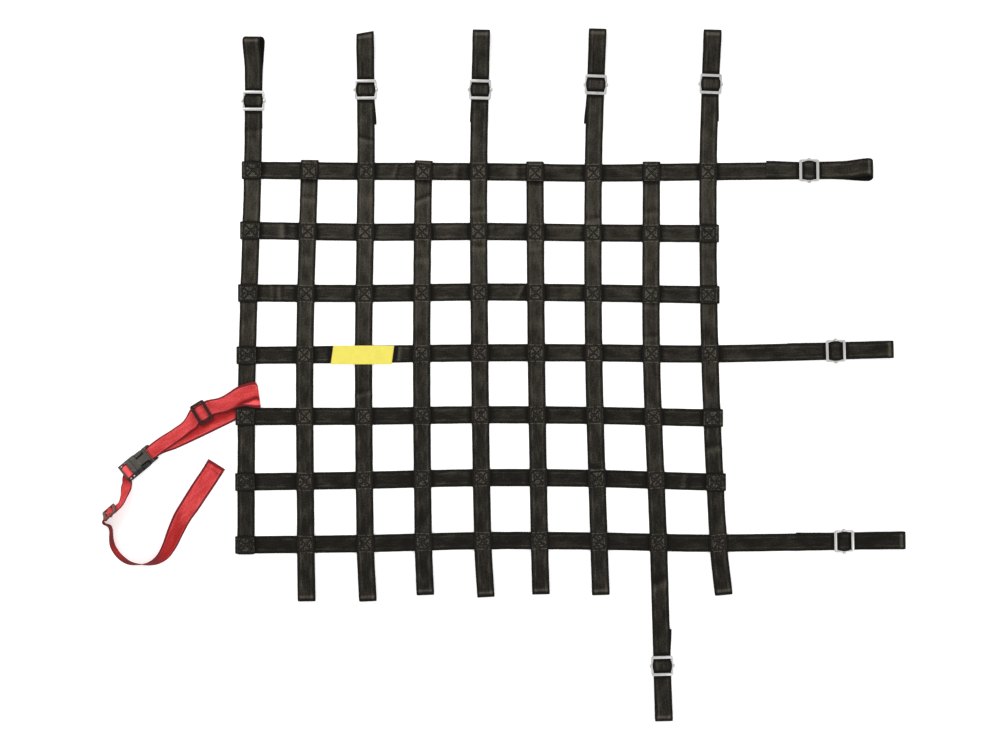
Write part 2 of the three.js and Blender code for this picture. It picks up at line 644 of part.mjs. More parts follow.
// Webbing on the floor: it leans on its lower edge, and its width points to the inside of the bend
function floorStations(rows) {
  return rows.map((row, i) => {
    const before = rows[Math.max(i - 1, 0)];
    const after = rows[Math.min(i + 1, rows.length - 1)];
    const heading = Math.atan2(after.y - before.y, after.x - before.x);
    const lean = radians(row.lean);
    const across = new THREE.Vector3(
      -Math.sin(heading) * Math.cos(lean), Math.cos(heading) * Math.cos(lean), Math.sin(lean),
    );
    const rise = (row.width * Math.sin(lean) + WEB_THICK * Math.abs(Math.cos(lean))) / 2;
    return { point: new THREE.Vector3(row.x, row.y, rise), across, width: row.width };
  });
}

function releaseTail() {
  const threading = TAIL_THREADING.map(({ along, aside, height, width, swing }) => ({
    point: atRelease(along, aside, height), across: planVector(RELEASE.turn - 90 + swing), width,
  }));
  const leaning = throughSlider(TAIL_SLIDER, TAIL_SLIDER_HEIGHT, SLIDER.along / 2);
  const flat = floorStations(TAIL_DROP);
  const end = flat.at(-1);
  const heading = end.point.clone().sub(flat.at(-2).point).normalize();
  const hem = fold(HEM.bulb + FLOOR, 1, FLOOR, FLOOR + 2 * HEM.bulb, WRAP_STEPS);
  const back = { along: -HEM.length, height: FLOOR + 2 * HEM.bulb };
  const hemStations = [...hem, back].map(({ along, height }) => {
    const point = end.point.clone().addScaledVector(heading, along + HEM.past).setZ(height);
    return { point, across: end.across, width: RED.width };
  });
  ribbon("release_tail", [
    ...threading, ...floorStations(TAIL_RUN), ...leaning, ...flat, ...hemStations,
  ], "release", WEB_THICK, RED.columns);
}

function labelPatch() {
  const over = UPRIGHTS[2].x4;
  const low = WEB_THICK + GAP + LABEL.thick / 2;
  const high = low + LAYER;
  const places = [
    [LABEL.from, low], [over - HUMP_HALF - RAMP, low], [over - HUMP_HALF, high],
    [over + HUMP_HALF, high], [over + HUMP_HALF + RAMP, low], [LABEL.to, low],
  ];
  const stations = places.map(([x, height]) => (
    { point: new THREE.Vector3(x, LABEL.y, height), across: planVector(90 - LABEL.slant), width: LABEL.width }
  ));
  ribbon("label_patch", stations, "label", LABEL.thick);
}

UPRIGHTS.forEach((strap, index) => {
  const i = index + 1;
  const line = uprightLines[index];
  ribbon(`upright_${i}`, strapStations(uprightProfile(i), line, true), "webbing");
  const end = UPRIGHT_ENDS[i];
  if (end) {
    const slope = (line(end.buckle + 1) - line(end.buckle - 1)) / 2;
    addBuckle(`upright_${i}`, line(end.buckle), end.buckle, -Math.atan(slope));
  }
});

CROSS_STRAPS.forEach((strap, index) => {
  const j = index + 1;
  const line = crossLines[index];
  ribbon(`cross_${j}`, strapStations(crossProfile(j), line, false), "webbing");
  const end = CROSS_ENDS[j];
  if (end) {
    const slope = (line(end.buckle + 1) - line(end.buckle - 1)) / 2;
    addBuckle(`cross_${j}`, end.buckle, line(end.buckle), Math.atan(slope) - Math.PI / 2);
  }
});

labelPatch();
releaseLoop();
releaseTail();

const loopSlider = addMesh("loop_slider", webSlider(), "plastic");
loopSlider.position.set(LOOP_SLIDER.x, LOOP_SLIDER.y, layer(1));
loopSlider.rotation.z = radians(LOOP_SLIDER.turn);

const tailSlider = addMesh("tail_slider", webSlider().rotateX(radians(TAIL_SLIDER.lean)), "plastic");
tailSlider.position.set(TAIL_SLIDER.x, TAIL_SLIDER.y, TAIL_SLIDER_HEIGHT);
tailSlider.rotation.z = radians(TAIL_SLIDER.turn);

for (const [name, geometry] of [["release_socket", releaseSocket()], ["release_plug", releasePlug()]]) {
  const mesh = addMesh(name, geometry, "plastic");
  mesh.position.set(RELEASE.x, RELEASE.y, 0);
  mesh.rotation.z = radians(RELEASE.turn);
}

export default net;
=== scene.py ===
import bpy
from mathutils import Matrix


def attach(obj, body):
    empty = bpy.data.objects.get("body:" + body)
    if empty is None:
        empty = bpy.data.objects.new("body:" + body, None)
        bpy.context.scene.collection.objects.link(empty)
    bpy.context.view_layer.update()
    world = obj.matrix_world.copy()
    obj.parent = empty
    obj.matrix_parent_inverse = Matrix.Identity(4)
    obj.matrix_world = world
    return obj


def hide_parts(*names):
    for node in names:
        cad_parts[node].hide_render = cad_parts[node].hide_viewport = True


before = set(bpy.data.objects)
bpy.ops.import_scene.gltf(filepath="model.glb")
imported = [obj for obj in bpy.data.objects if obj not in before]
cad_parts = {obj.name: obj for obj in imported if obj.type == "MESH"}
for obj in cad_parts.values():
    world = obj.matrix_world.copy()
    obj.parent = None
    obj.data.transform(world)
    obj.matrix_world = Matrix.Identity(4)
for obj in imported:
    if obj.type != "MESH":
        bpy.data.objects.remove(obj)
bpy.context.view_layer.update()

import math
import random
from collections import namedtuple

import bmesh
import bpy
from mathutils import Matrix, Vector, noise

bl_info = {
    "name": "Racing Window Net",
    "version": (1, 0, 0),
    "blender": (4, 5, 0),
    "location": "3D View > Sidebar > Window Net",
    "description": "Dresses the packed window net with webbing, seams, buckles and its release strap",
    "category": "Object",
}

MM = 0.001
PER_MM = 1 / MM
Z_AXIS = Vector((0, 0, 1))

# Webbing and its layers. It is raised for HUMP_HALF on both sides of a crossing, with a RAMP
# down to the floor for each layer, and its sewn ends reach past a crossing by FLAP_HALF.
WEB_WIDTH = 25.0
WEB_THICK = 1.5
GAP = 0.35
LAYER = WEB_THICK + GAP
FLOOR = WEB_THICK / 2
LOW_LAYER = FLOOR + 0.6
HUMP_HALF = 14.5
RAMP = 10.0
FLAP_HALF = 12.0
WRAP_REACH = WEB_WIDTH / 2 + 3.2
TAIL_CLEAR = 2.0
SEWN_STEP = 1.1
RAISED_STEP = 2.0
FLAT_STEP = 3.0

# Slide buckle: crest and reach are how far from its bar the webbing is at its highest and down
# again, and over the bar the webbing is wider and lifted by so much
BUCKLE = {"length": 28.4, "bar_top": 2.0, "crest": 2.7, "reach": 9.6}
BAR_LAYER = BUCKLE["bar_top"] + GAP + FLOOR
BAR_SPREAD = 2.4
BAR_LIFT = 2.0
UNDER_LAYER = FLOOR + 0.9


def rows_of(kind, *rows):
    """The rows of a table, each with the kind's names for its values."""
    return [kind(*row) for row in rows]


# Uprights: X of the centre line at the tip, at cross straps 1, 4 and 7, and at the foot
Upright = namedtuple("Upright", "tip_x x1 x4 x7 foot_x tip_y foot_y")
UPRIGHTS = rows_of(
    Upright,
    (-357, -359, -366.5, -368.5, -366.5, 483, -255.5),
    (-277, -278, -284.5, -283, -281.5, 306, -323.5),
    (-198, -197, -200.5, -198, -194, 489, -323.5),
    (-114, -115, -117.5, -115, -112, 306, -314.5),
    (-32, -36, -34.5, -30, -25.5, 493, -317.5),
    (44.5, 44.5, 46.5, 51, 53, 306, -313.5),
    (134, 128, 128.5, 136, 138.5, 494.5, -314.5),
    (211, 211, 211, 221, 228.5, 306, -494.5),
    (298, 292, 294.5, 306.5, 314, 493, -314.5))

# Cross straps: Y of the centre line at uprights 1, 3, 5, 7 and 9, and the tip of those that run on
Cross = namedtuple("Cross", "y1 y3 y5 y7 y9 tip_x tip_y", defaults=(None, None))
CROSS_STRAPS = rows_of(
    Cross,
    (292.5, 291, 290.5, 288.5, 290.5, 527, 293),
    (206.5, 204, 205, 203, 202),
    (117, 116.5, 118.5, 117, 114.5),
    (28, 29.5, 31.5, 31.5, 30, 556.5, 36.5),
    (-59.5, -59, -57, -58, -61.5),
    (-153, -150.5, -147, -148, -153),
    (-243, -241, -237, -237.5, -240.5, 573.5, -236))

# Y of cross straps 1, 4 and 7, and X of uprights 1, 3, 5, 7 and 9, where the lines have a knot
KNOT_Y1, KNOT_Y4, KNOT_Y7 = 291, 30, -240
KNOT_COLUMNS = (-363, -197, -34, 129, 293.5)
COLUMNS = range(1, len(UPRIGHTS) + 1)
ROWS = range(1, len(CROSS_STRAPS) + 1)

# Adjustable ends; open is how far the loop's two layers slide apart sideways, slant is the
# rise of the loop's fold over its width
End = namedtuple(
    "End", "outward buckle tail bulb stray open on_top slant", defaults=(0.0, False, 0.0))
UPRIGHT_ENDS = {
    1: End(1, 391.5, 352, 7, 0.5, 3.0),
    3: End(1, 407.5, 358, 5.5, 2.5, slant=0.17),
    5: End(1, 407.5, 361.5, 5.5, -1),
    7: End(1, 414.5, 359, 5.5, -2.5),
    8: End(-1, -415.5, -363.5, 5.5, 2.5),
    9: End(1, 415.5, 363, 5.5, 1.5),
}
CROSS_ENDS = {
    1: End(1, 436, 375, 7, 2, -3.5, True),
    4: End(1, 474, 406, 5.5, 0.5),
    7: End(1, 486, 418, 5.5, 1),
}
SLEEVED = (2, 3, 4, 5, 6, 7, 9)
SLEEVE_BULB = 4.5
LOOP_LENGTH = 68.0
FLAPPED_ROWS = (2, 3, 5, 6)
RED_LIFT_TOP = 3.0

# Creases: place along the strap, height, half length, slant over the width, tone
# The tone of a crease is the strength of a painted highlight on its ridge and of painted shade just
# past it
UPRIGHT_CREASES = {
    1: [(346, 0.8, 3.0, 0.0, 0.25), (70, 0.5, 8.0, 0.2, 0.12), (-105, 0.5, 9.0, 0.0, 0.1)],
    2: [(249, 1.3, 4.0, -0.1, 0.5), (163, 0.8, 7.0, 0.2, 0.2)],
    3: [(334, 1.2, 3.0, -0.25, 0.7), (-28.7, 1.2, 3.5, 0.2, 0.5), (250, 0.6, 9.0, 0.0, 0.2)],
    4: [(248.5, 1.6, 3.5, 0.45, 0.8), (163, 1.0, 5.0, 0.1, 0.35)],
    5: [(231.5, 1.2, 3.5, 0.1, 0.5), (180, 1.2, 3.5, -0.1, 0.5)],
    6: [(174.3, 0.9, 3.0, 0.1, -0.3), (72, 0.7, 8.0, 0.0, 0.2)],
    7: [(218.7, 1.2, 4.0, 0.2, 0.5), (-138.9, 1.5, 4.0, -0.2, 0.7)],
    8: [(228.7, 1.0, 4.0, 0.1, 0.4), (95.7, 1.0, 4.0, 0.0, 0.4), (51.3, 1.0, 3.5, 0.1, 0.4),
        (-302, 1.3, 6.0, 0.3, 0.5)],
    9: [(-107.4, 1.2, 5.0, 0.1, 0.45), (160, 0.8, 7.0, 0.1, 0.2)],
}
CROSS_CREASES = {
    1: [(-155.6, 1.2, 2.5, 0.3, 0.6), (-69.8, 1.2, 4.0, 0.1, 0.45), (16, 1.2, 4.0, 0.0, 0.45)],
    2: [(-317.2, 1.5, 4.0, 0.0, 0.8), (-19.7, 1.0, 4.0, 0.1, 0.35)],
    3: [(-331.5, 1.0, 2.5, 0.0, 0.5), (-321, 1.2, 2.5, 0.0, 0.6), (23.2, 1.3, 3.0, 0.5, 0.6),
        (80.4, 0.5, 5.0, 0.0, -0.3)],
    # On cross strap 4 they have no height: bands of painted shade at both ends of the label
    4: [(-248.0, 0.0, 3.0, 0.14, -1.6), (-155.0, 0.0, 3.0, 0.14, -1.6)],
    6: [(257.7, 1.3, 4.0, 0.1, 0.6)],
    7: [(-150, 0.9, 6.0, 0.1, 0.2)],
}

# Painted light and shade of the webbing by its place up the net, lightest between the two top cross
# straps and darker towards the bottom, and how much darker the cross straps are
NET_PAINTED_LIGHT = ((-500.0, -0.3), (-240.0, -0.4), (0.0, -0.17), (240.0, 0.15), (330.0, -0.1),
            (500.0, -0.2))
CROSS_TONE = -0.2

# How much painted shade darkens the webbing beside a crossing, how much darker it is round a seam,
# how much painted shadow darkens it by a buckle's end bars, and how much painted shade darkens the
# lower layer inside a loop; the strength of the painted highlight on a fold; the darkest and the
# lightest tone
SHADE_BESIDE_CROSSING, ROUND_SEAM, SHADOW_AT_BUCKLE, SHADE_INSIDE_LOOP = 0.8, 0.35, 1.4, 2.0
FOLD_HIGHLIGHT = 1.1
BLACK_TONES = (-2.0, 0.85)
RED_TONES = (-2.6, 1.0)

# Box and cross seams over the crossings, in millimetres
SEAM_HALF = 9.6
SEAM_PILLOW = 0.9
SEAM_SOFT = 2.8
SEAM_REACH = 13.0
SEAM_SPREAD = 1.0

# Weaves: pitch of the warp bundles, width of the hem, lightness, and place of the painted sheen line
BLACK_WEAVE = {"warp": 1.6, "hem": 1.6, "bright": 0.1, "sheen_line": 7.2}
RED_WEAVE = {"rib": 1.1, "warp": 1.0, "hem": 2.3, "bright": 0.22, "sheen_line": 10.5}

# Label, release strap and its fittings
LABEL = {"from": -245.5, "to": -158.5, "width": 27.0, "thick": 1.0, "slant": 8.0, "y": 28.5}
LABEL_SHEET = 0.6
RELEASE = {"x": -521.7, "y": -125.7, "turn": 39.0}
# Painted shade along the outer side of the release buckle: where it starts and where it is full, in
# millimetres out from its middle
SHADED_FLANK = (5.5, 8.5)
BUCKLE_GLOSS, SLIDER_GLOSS = 0.4, 0.15
SOCKET_BAR = {"fold_at": 22.2, "low": 2.1, "thick": 2.9, "slack": 0.2, "before": 5.5}
RED = {"width": 28.0, "slot_width": 20.0, "flat_width": 25.0}
SLIDER = {"across": 32.0, "along": 22.0}
SLIDER_WEB = 24.6
LOOP_SLIDER = {"x": -431.5, "y": -54.0, "turn": 31.0, "lean": 0.0}
TAIL_SLIDER = {"x": -560.0, "y": -197.0, "turn": 221.0, "lean": 68.0}
TAIL_SLIDER_HEIGHT = (
    SLIDER["across"] / 2 * math.sin(math.radians(TAIL_SLIDER["lean"]))
    - (FLOOR + GAP) * math.cos(math.radians(TAIL_SLIDER["lean"])))
SLIDER_WAY = ((-12, 0), (-6.3, 0), (-2.2, 3.1), (2.2, 3.1), (6.3, 0))
LOOP_END_REACH = 8.6

LoopRow = namedtuple("LoopRow", "x y level turn width curl")
LOOP_OUT = rows_of(
    LoopRow, (-423.4, -49.1, 1, 121, 24, 0), (-420.4, -47.3, 1, 121, 24, 0),
    (-414, -45.5, 1, 120, 23.5, 3), (-402, -43, 1.4, 117, 23, 5), (-386, -35.5, 3, 117, 25, 4.5),
    (-376, -31.2, 3, 113, 29.5, 3), (-366, -29.5, 3, 106, 34, 1.5), (-356, -28.5, 3, 97, 37.5, 0))
LOOP_FOLD = {"x": -352.6, "turn": 98.0, "steps": 4}
LOOP_BACK = rows_of(
    LoopRow, (-356, -33, 0, 100, 26, 0), (-366, -38.5, 0, 109, 27, 0),
    (-388, -52, 0, 116, 27, 0), (-415, -65.5, 0, 116, 27, 0), (-446, -81, 0, 117, 26, 0),
    (-474, -95, 0, 121, 24, 0))
LOOP_NEAR = rows_of(
    LoopRow, (-486, -97.5, 1.6, 127, 20, 3), (-468, -85.5, 1.1, 124, 19, 5),
    (-450, -71, 1, 122, 20, 4), (-445.5, -66, 1, 121, 24, 2))
ThreadRow = namedtuple("ThreadRow", "along aside height width swing", defaults=(0,))
TAIL_THREADING = rows_of(
    ThreadRow, (-15.2, 0.8, 3, 20.6), (-15.2, 0.8, 6, 20.6), (-16.3, 0.8, 7.7, 20.6),
    (-18.8, 0.7, 8.4, 20.6), (-22.0, 0.3, 8, 20.4), (-23.7, -0.4, 6.4, 19), (-23.9, -1.6, 4, 17),
    (-23.7, -3, 2, 15), (-24.3, -4.4, 1.2, 14), (-26.9, -5.9, 1, 13, 20),
    (-29, -8, 0.9, 13, 41), (-30.3, -10.8, 0.85, 14, 60))
FloorRow = namedtuple("FloorRow", "x y lean width", defaults=(RED["width"],))
TAIL_RUN = rows_of(
    FloorRow, (-538.7, -157, 8, 15), (-539.1, -160.2, 21, 17), (-539.7, -163.6, 34, 19),
    (-540.5, -167.4, 46, 21), (-541.6, -172, 56, 23), (-543.4, -178, 63, 25),
    (-546, -183.8, 67, 25))
TAIL_DROP = rows_of(
    FloorRow, (-570.8, -206.8, 82, 26), (-570.6, -210.2, 87, 27), (-568, -212.9, 88),
    (-564.3, -213.8, 90), (-561.2, -216, 90), (-559.4, -221.5, 90), (-559.2, -231, 92),
    (-557.5, -242, 95), (-552, -252.5, 96), (-543, -262, 96), (-532.5, -268, 93),
    (-519.5, -270, 87), (-506.5, -269.5, 79), (-496, -266, 70), (-487, -259.5, 61),
    (-477.5, -245, 51), (-469, -225, 41), (-459, -203.5, 31), (-447.5, -185.5, 20),
    (-434.5, -165, 9), (-420, -143, 0), (-411.5, -129.5, 0))
HEM = {"past": 1.0, "length": 9.0, "bulb": 0.95}

# Crease of the loop where it lies over upright 1, as knots of station and distance aside, with
# painted shade in its trough and a painted highlight beside it; and the stations between which its
# lower edge has painted light and the part above it painted shade from the layer on top
LOOP_CREASE = ((4.6, -10.0), (5.4, -8.5), (6.2, -7.0), (7.0, -4.5), (11.0, -4.0))
CREASE_DEPTH = 1.2
CREASE_HALF = 2.3
LOOP_LIT = (13.0, 19.0)

# Painted light and shade of the free end along its stations: light in the socket's slot, dark where
# it leaves the buckle, in two stretches of its drop past the small slider, and over its hem
TAIL_SHADE = (
    (0.0, 0.3), (2.0, 0.9), (4.5, 0.9), (6.5, -1.6), (9.0, -1.0), (12.0, 0.0), (24.0, -0.2),
    (27.0, -2.5), (31.0, -2.5), (33.0, -0.8), (35.0, -2.6), (37.5, -2.6), (39.5, -0.8),
    (43.0, 0.0), (46.4, 0.0), (47.0, -2.6), (53.15, -2.6), (53.3, 0.0), (60.0, 0.0))

# Width of the camera's sensor in millimetres
SENSOR_WIDTH = 36.0

# Stage, in metres: the middle of the camera's view, how far it sees, the table's size and how
# far it lies below the net, and the lights' names, places, sizes and powers
VIEW_MIDDLE = (-0.0162, 0.0013)
FARTHEST_SEEN = 50.0
TABLE_SIZE = 6.0
TABLE_DROP = 0.0002
LIGHTS = (
    ("key_light", (-1.6, 1.9, 2.6), 2.2, "key_power"),
    ("fill_light", (1.9, -1.4, 2.6), 2.4, "fill_power"))

Place = namedtuple("Place", "along height stray", defaults=(0.0,))
Station = namedtuple("Station", "point across width curl place", defaults=(0.0, None))


def setting(name, description, default, low, high, subtype="DISTANCE", unit="LENGTH"):
    return bpy.props.FloatProperty(
        name=name, description=description, default=default, min=low, max=high,
        subtype=subtype, unit=unit)


def colour_setting(name, description, red, green, blue):
    return bpy.props.FloatVectorProperty(
        name=name, description=description, default=(red, green, blue, 1.0), size=4, min=0.0,
        max=1.0, subtype="COLOR")


class WebbingSettings(bpy.types.PropertyGroup):
    """Sizes and colours of the black webbing."""

    thickness: setting("Thickness", "Thickness of the black webbing", 0.0014, 0.0008, 0.0016)
    rib: setting("Rib", "Pitch of the ribs across the webbing", 0.0014, 0.0005, 0.004)
    colour: colour_setting("Colour", "Colour of the yarn", 0.019, 0.0165, 0.0125)
    # Lightest colour of the yarn: for random paler patches and for painted highlights
    wear_and_highlight: colour_setting("Worn", "Colour of the yarn where it is creased", 0.092, 0.082, 0.064)


class SeamSettings(bpy.types.PropertyGroup):
    """Sizes and colour of the stitching."""

    pitch: setting("Pitch", "Length of one stitch with the gap after it", 0.0033, 0.0015, 0.006)
    thread: setting("Thread", "Thickness of the thread", 0.0011, 0.0003, 0.0015)
    colour: colour_setting("Colour", "Colour of the thread", 0.022, 0.019, 0.014)


class HardwareSettings(bpy.types.PropertyGroup):
    """Roundings and colours of the buckles and plastic fittings."""

    steel_edge: setting(
        "Steel edge", "Rounding of the slide buckles' edges", 0.0009, 0.0001, 0.0011)
    plastic_edge: setting(
        "Plastic edge", "Rounding of the plastic fittings' edges", 0.0004, 0.0001, 0.0008)
    steel: colour_setting("Steel", "Colour of the nickel plating", 0.57, 0.565, 0.555)
    plastic: colour_setting(
        "Plastic", "Colour of the release buckle's plastic", 0.052, 0.047, 0.038)
    slider: colour_setting("Slider", "Colour of the loop slider's plastic", 0.030, 0.011, 0.010)
    small_slider: colour_setting(
        "Small slider", "Colour of the plastic of the free end's slider", 0.10, 0.032, 0.020)


class ReleaseSettings(bpy.types.PropertyGroup):
    """Size and colours of the red release strap and the label."""

    thickness: setting("Thickness", "Thickness of the red webbing", 0.0011, 0.0006, 0.0015)
    colour: colour_setting("Colour", "Colour of the red yarn", 0.85, 0.036, 0.036)
    # Lightest colour of the red yarn: for random paler patches and for painted highlights
    wear_and_highlight: colour_setting("Worn", "Colour of the red yarn where it is creased", 0.97, 0.125, 0.13)
    rim: colour_setting("Rim", "Colour of the red webbing's edges", 0.16, 0.016, 0.018)
    label: colour_setting("Label", "Colour of the bare label", 0.84, 0.74, 0.11)


class StageSettings(bpy.types.PropertyGroup):
    """Camera, lights and floor."""

    frame_width: setting(
        "Frame width", "Width of the table that the camera sees", 1.4086, 0.5, 4.0)
    lens: setting(
        "Lens", "Focal length of the camera", 85.0, 20.0, 200.0, "DISTANCE_CAMERA", "CAMERA")
    key_power: setting(
        "Key power", "Power of the large soft light", 46.0, 1.0, 1000.0, "POWER", "POWER")
    fill_power: setting(
        "Fill power", "Power of the fill light", 22.0, 1.0, 1000.0, "POWER", "POWER")
    sky: setting(
        "Sky", "Strength of the even light from all around", 0.82, 0.0, 5.0, "NONE", "NONE")
    glow: setting(
        "Glow", "Strength of the light that comes through the table", 0.38, 0.0, 1.0, "NONE",
        "NONE")
    floor: colour_setting("Floor", "Colour of the table", 0.93, 0.93, 0.925)


class Shade:
    """A socket of a finish's nodes, which plain arithmetic can be done on."""

    def __init__(self, tree, socket=None):
        self.tree = tree
        self.socket = socket

    def node(self, kind, inputs=None, output=0, **settings):
        """Adds a node: its settings first, then its sockets."""
        made = self.tree.nodes.new(kind)
        for name, value in settings.items():
            setattr(made, name, value)
        for key, value in (inputs or {}).items():
            if isinstance(value, Shade):
                self.tree.links.new(value.socket, made.inputs[key])
            else:
                made.inputs[key].default_value = value
        return Shade(self.tree, made.outputs[output] if made.outputs else None)

    def math(self, operation, *values):
        return self.node("ShaderNodeMath", dict(enumerate(values)), operation=operation)

    def __add__(self, other):
        return self.math("ADD", self, other)

    def __sub__(self, other):
        return self.math("SUBTRACT", self, other)

    def __rsub__(self, other):
        return self.math("SUBTRACT", other, self)

    def __mul__(self, other):
        return self.math("MULTIPLY", self, other)

    def __truediv__(self, other):
        return self.math("DIVIDE", self, other)

    def __abs__(self):
        return self.math("ABSOLUTE", self)

    __radd__ = __add__
    __rmul__ = __mul__

    def soft(self, low, high):
        """0 below low, 1 above high, and a soft rise between them."""
        return self.node(
            "ShaderNodeMapRange", {"Value": self, "From Min": low, "From Max": high},
            interpolation_type="SMOOTHSTEP")

    def blend(self, first, second):
        """The two colours, mixed by this value."""
        return self.node(
            "ShaderNodeMix", {0: self, 6: first, 7: second}, output=2, data_type="RGBA")

    def noise(self, scale, detail=2.0, roughness=0.5):
        """Noise on this vector, around 0.5."""
        return self.node(
            "ShaderNodeTexNoise",
            {"Vector": self, "Scale": scale, "Detail": detail, "Roughness": roughness})

    def stretched(self, x, y, z):
        return self.node("ShaderNodeVectorMath", {0: self, 1: (x, y, z)}, operation="MULTIPLY")

    def place(self):
        """Coordinates of the object."""
        return self.node("ShaderNodeTexCoord", output=3)

    def uv_axes(self, name):
        """A UV map, and its two axes as values of their own."""
        uv = self.node("ShaderNodeUVMap", uv_map=name)
        return uv, *(uv.node("ShaderNodeSeparateXYZ", {0: uv}, output=i) for i in (0, 1))


def new_finish(name):
    """A new material, as the start of its nodes."""
    material = bpy.data.materials.new(name)
    material.use_nodes = True
    material.node_tree.nodes.clear()
    return material, Shade(material.node_tree)


def finish_surface(start, sockets, height=None, strength=0.4, distance=0.0003):
    """Closes a finish with its shader, and with a bump where it has a height."""
    sockets = dict(sockets)
    if height is not None:
        sockets["Normal"] = start.node(
            "ShaderNodeBump", {"Strength": strength, "Distance": distance, "Height": height})
    shader = start.node("ShaderNodeBsdfPrincipled", sockets)
    start.node("ShaderNodeOutputMaterial", {"Surface": shader})


def darker(colour, factor):
    return (colour[0] * factor, colour[1] * factor, colour[2] * factor, 1.0)


def seam_marks(start):
    """Pressed lines of a box and its cross in painted shade, and a painted highlight beside them."""
    p, q = map(abs, start.uv_axes("seam")[1:])
    ring = p.math("MAXIMUM", p, q)
    outside = ring.math("MAXIMUM", ring - 1.0, 0.0)
    cross = abs(p - q) * math.sqrt(0.5) + outside * 9.0
    gap = ring.math("MINIMUM", abs(ring - 1.0), cross)
    pressed = 1.0 - gap.soft(0.05, 0.17)
    beside = (gap.soft(0.12, 0.2) - gap.soft(0.24, 0.42)) * (1.0 - ring.soft(1.2, 1.4))
    return pressed, beside


def woven_finish(name, yarn, wear_and_highlight, rim, width, rib, warp, hem, bright, sheen_line, sewn=False):
    """Webbing: ribs over the width, warp bundles along it, painted sheen lines and painted highlights
    on creases.
    """
    material, start = new_finish(name)
    uv, across, along = start.uv_axes("weave")
    across, along = across * PER_MM, along * PER_MM
    # The tone holds painted light and shade as well as random tone
    tone = start.node("ShaderNodeAttribute", output=2, attribute_name="tone")
    bundle = (across / warp).math("FLOOR", across / warp)
    odd = bundle.math("MODULO", abs(bundle), 2.0)
    rib_wave = along.math("SINE", along * (2 * math.pi / rib) + odd * math.pi)
    warp_wave = abs(across.math("SINE", across * (math.pi / warp)))
    height = (rib_wave * 0.5 + 0.5) * (warp_wave * 0.6 + 0.4)
    blotch = uv.stretched(1000.0, 420.0, 1.0).noise(0.1, 3.0, 0.6)
    grain = uv.stretched(1000.0, 1000.0, 1.0).noise(0.55, 2.0, 0.7)
    streak = uv.stretched(1000.0, 90.0, 1.0).noise(0.6, 2.0, 0.6)
    edge = abs(across)
    inside = 1.0 - edge.soft(width / 2 - hem - 1.8, width / 2 - hem)
    # A painted sheen highlight runs along each side of the webbing
    line = 1.0 - abs(edge - sheen_line).soft(0.3, 1.5)
    light = (blotch - 0.5) * 1.0 + (grain - 0.5) * 1.5 + (streak - 0.5) * 0.7
    light = light + line * streak * 0.5 + (height - 0.5) * 0.14 + tone * 0.7 + bright
    if sewn:
        pressed, beside = seam_marks(start)
        fleck = uv.stretched(1000.0, 1000.0, 1.0).noise(0.3, 2.0, 0.6).soft(0.38, 0.62)
        # Painted highlight beside the seam's lines, broken up by flecks, and painted shade in the
        # lines
        light = light + beside * (fleck * 1.1 + 0.15) - pressed * 0.9
        height = height - pressed * 2.0
    ground = light.soft(-0.5, 1.25).blend(darker(yarn, 0.45), wear_and_highlight)
    ground = light.soft(-1.4, -0.35).blend(rim, ground)
    colour = inside.blend(rim, ground)
    rough = 0.95 - light.soft(0.0, 1.4) * 0.2
    finish_surface(
        start,
        {"Base Color": colour, "Roughness": rough, "Sheen Weight": 0.05,
         "Sheen Roughness": 0.45, "Sheen Tint": wear_and_highlight, "Specular IOR Level": 0.12},
        height, 0.55, 0.00035)
    return material


def thread_finish(name, colour):
    """Bonded thread with a fine twist."""
    material, start = new_finish(name)
    place = start.place()
    fuzz = place.noise(1400.0, 2.0)
    spread = place.noise(90.0, 1.0)
    ground = (fuzz * 0.5 + spread * 0.5).blend(darker(colour, 0.55), darker(colour, 1.5))
    rough = 0.55 + fuzz * 0.25
    finish_surface(start, {"Base Color": ground, "Roughness": rough}, fuzz, 0.4, 0.0002)
    return material


def nickel_finish(name, colour):
    """Worn nickel plating: fine scratches, dull patches and a little grime."""
    material, start = new_finish(name)
    place = start.place()
    patches = place.noise(160.0, 3.0, 0.6)
    scratches = place.stretched(1.0, 9.0, 3.0).noise(700.0, 2.0, 0.7)
    grime = place.noise(60.0, 4.0, 0.65).soft(0.58, 0.8)
    ground = grime.blend(
        patches.blend(darker(colour, 0.86), darker(colour, 1.12)), darker(colour, 0.35))
    rough = 0.2 + patches * 0.16 + scratches * 0.08 + grime * 0.25
    finish_surface(
        start, {"Base Color": ground, "Metallic": 1.0, "Roughness": rough},
        scratches + patches * 0.5, 0.12, 0.0002)
    return material


def plastic_finish(name, colour, gloss, shaded_flank=None):
    """Moulded plastic with a fine grain and scuffed patches, and painted shade along one side."""
    material, start = new_finish(name)
    place = start.place()
    grain = place.noise(2200.0, 2.0, 0.6)
    scuff = place.stretched(1.0, 2.5, 1.0).noise(170.0, 4.0, 0.7).soft(0.5, 0.75)
    ground = scuff.blend(colour, darker(colour, 2.4))
    # Painted shade past a line along one side
    if shaded_flank:
        outward, near, far = shaded_flank
        aside = place.node(
            "ShaderNodeVectorMath", {0: place, 1: outward}, operation="DOT_PRODUCT", output=1)
        ground = aside.soft(near, far).blend(ground, darker(colour, 0.12))
    rough = 0.42 + grain * 0.2 + scuff * 0.2
    finish_surface(
        start, {"Base Color": ground, "Roughness": rough, "Specular IOR Level": gloss},
        grain + scuff * 0.4, 0.25, 0.0002)
    return material


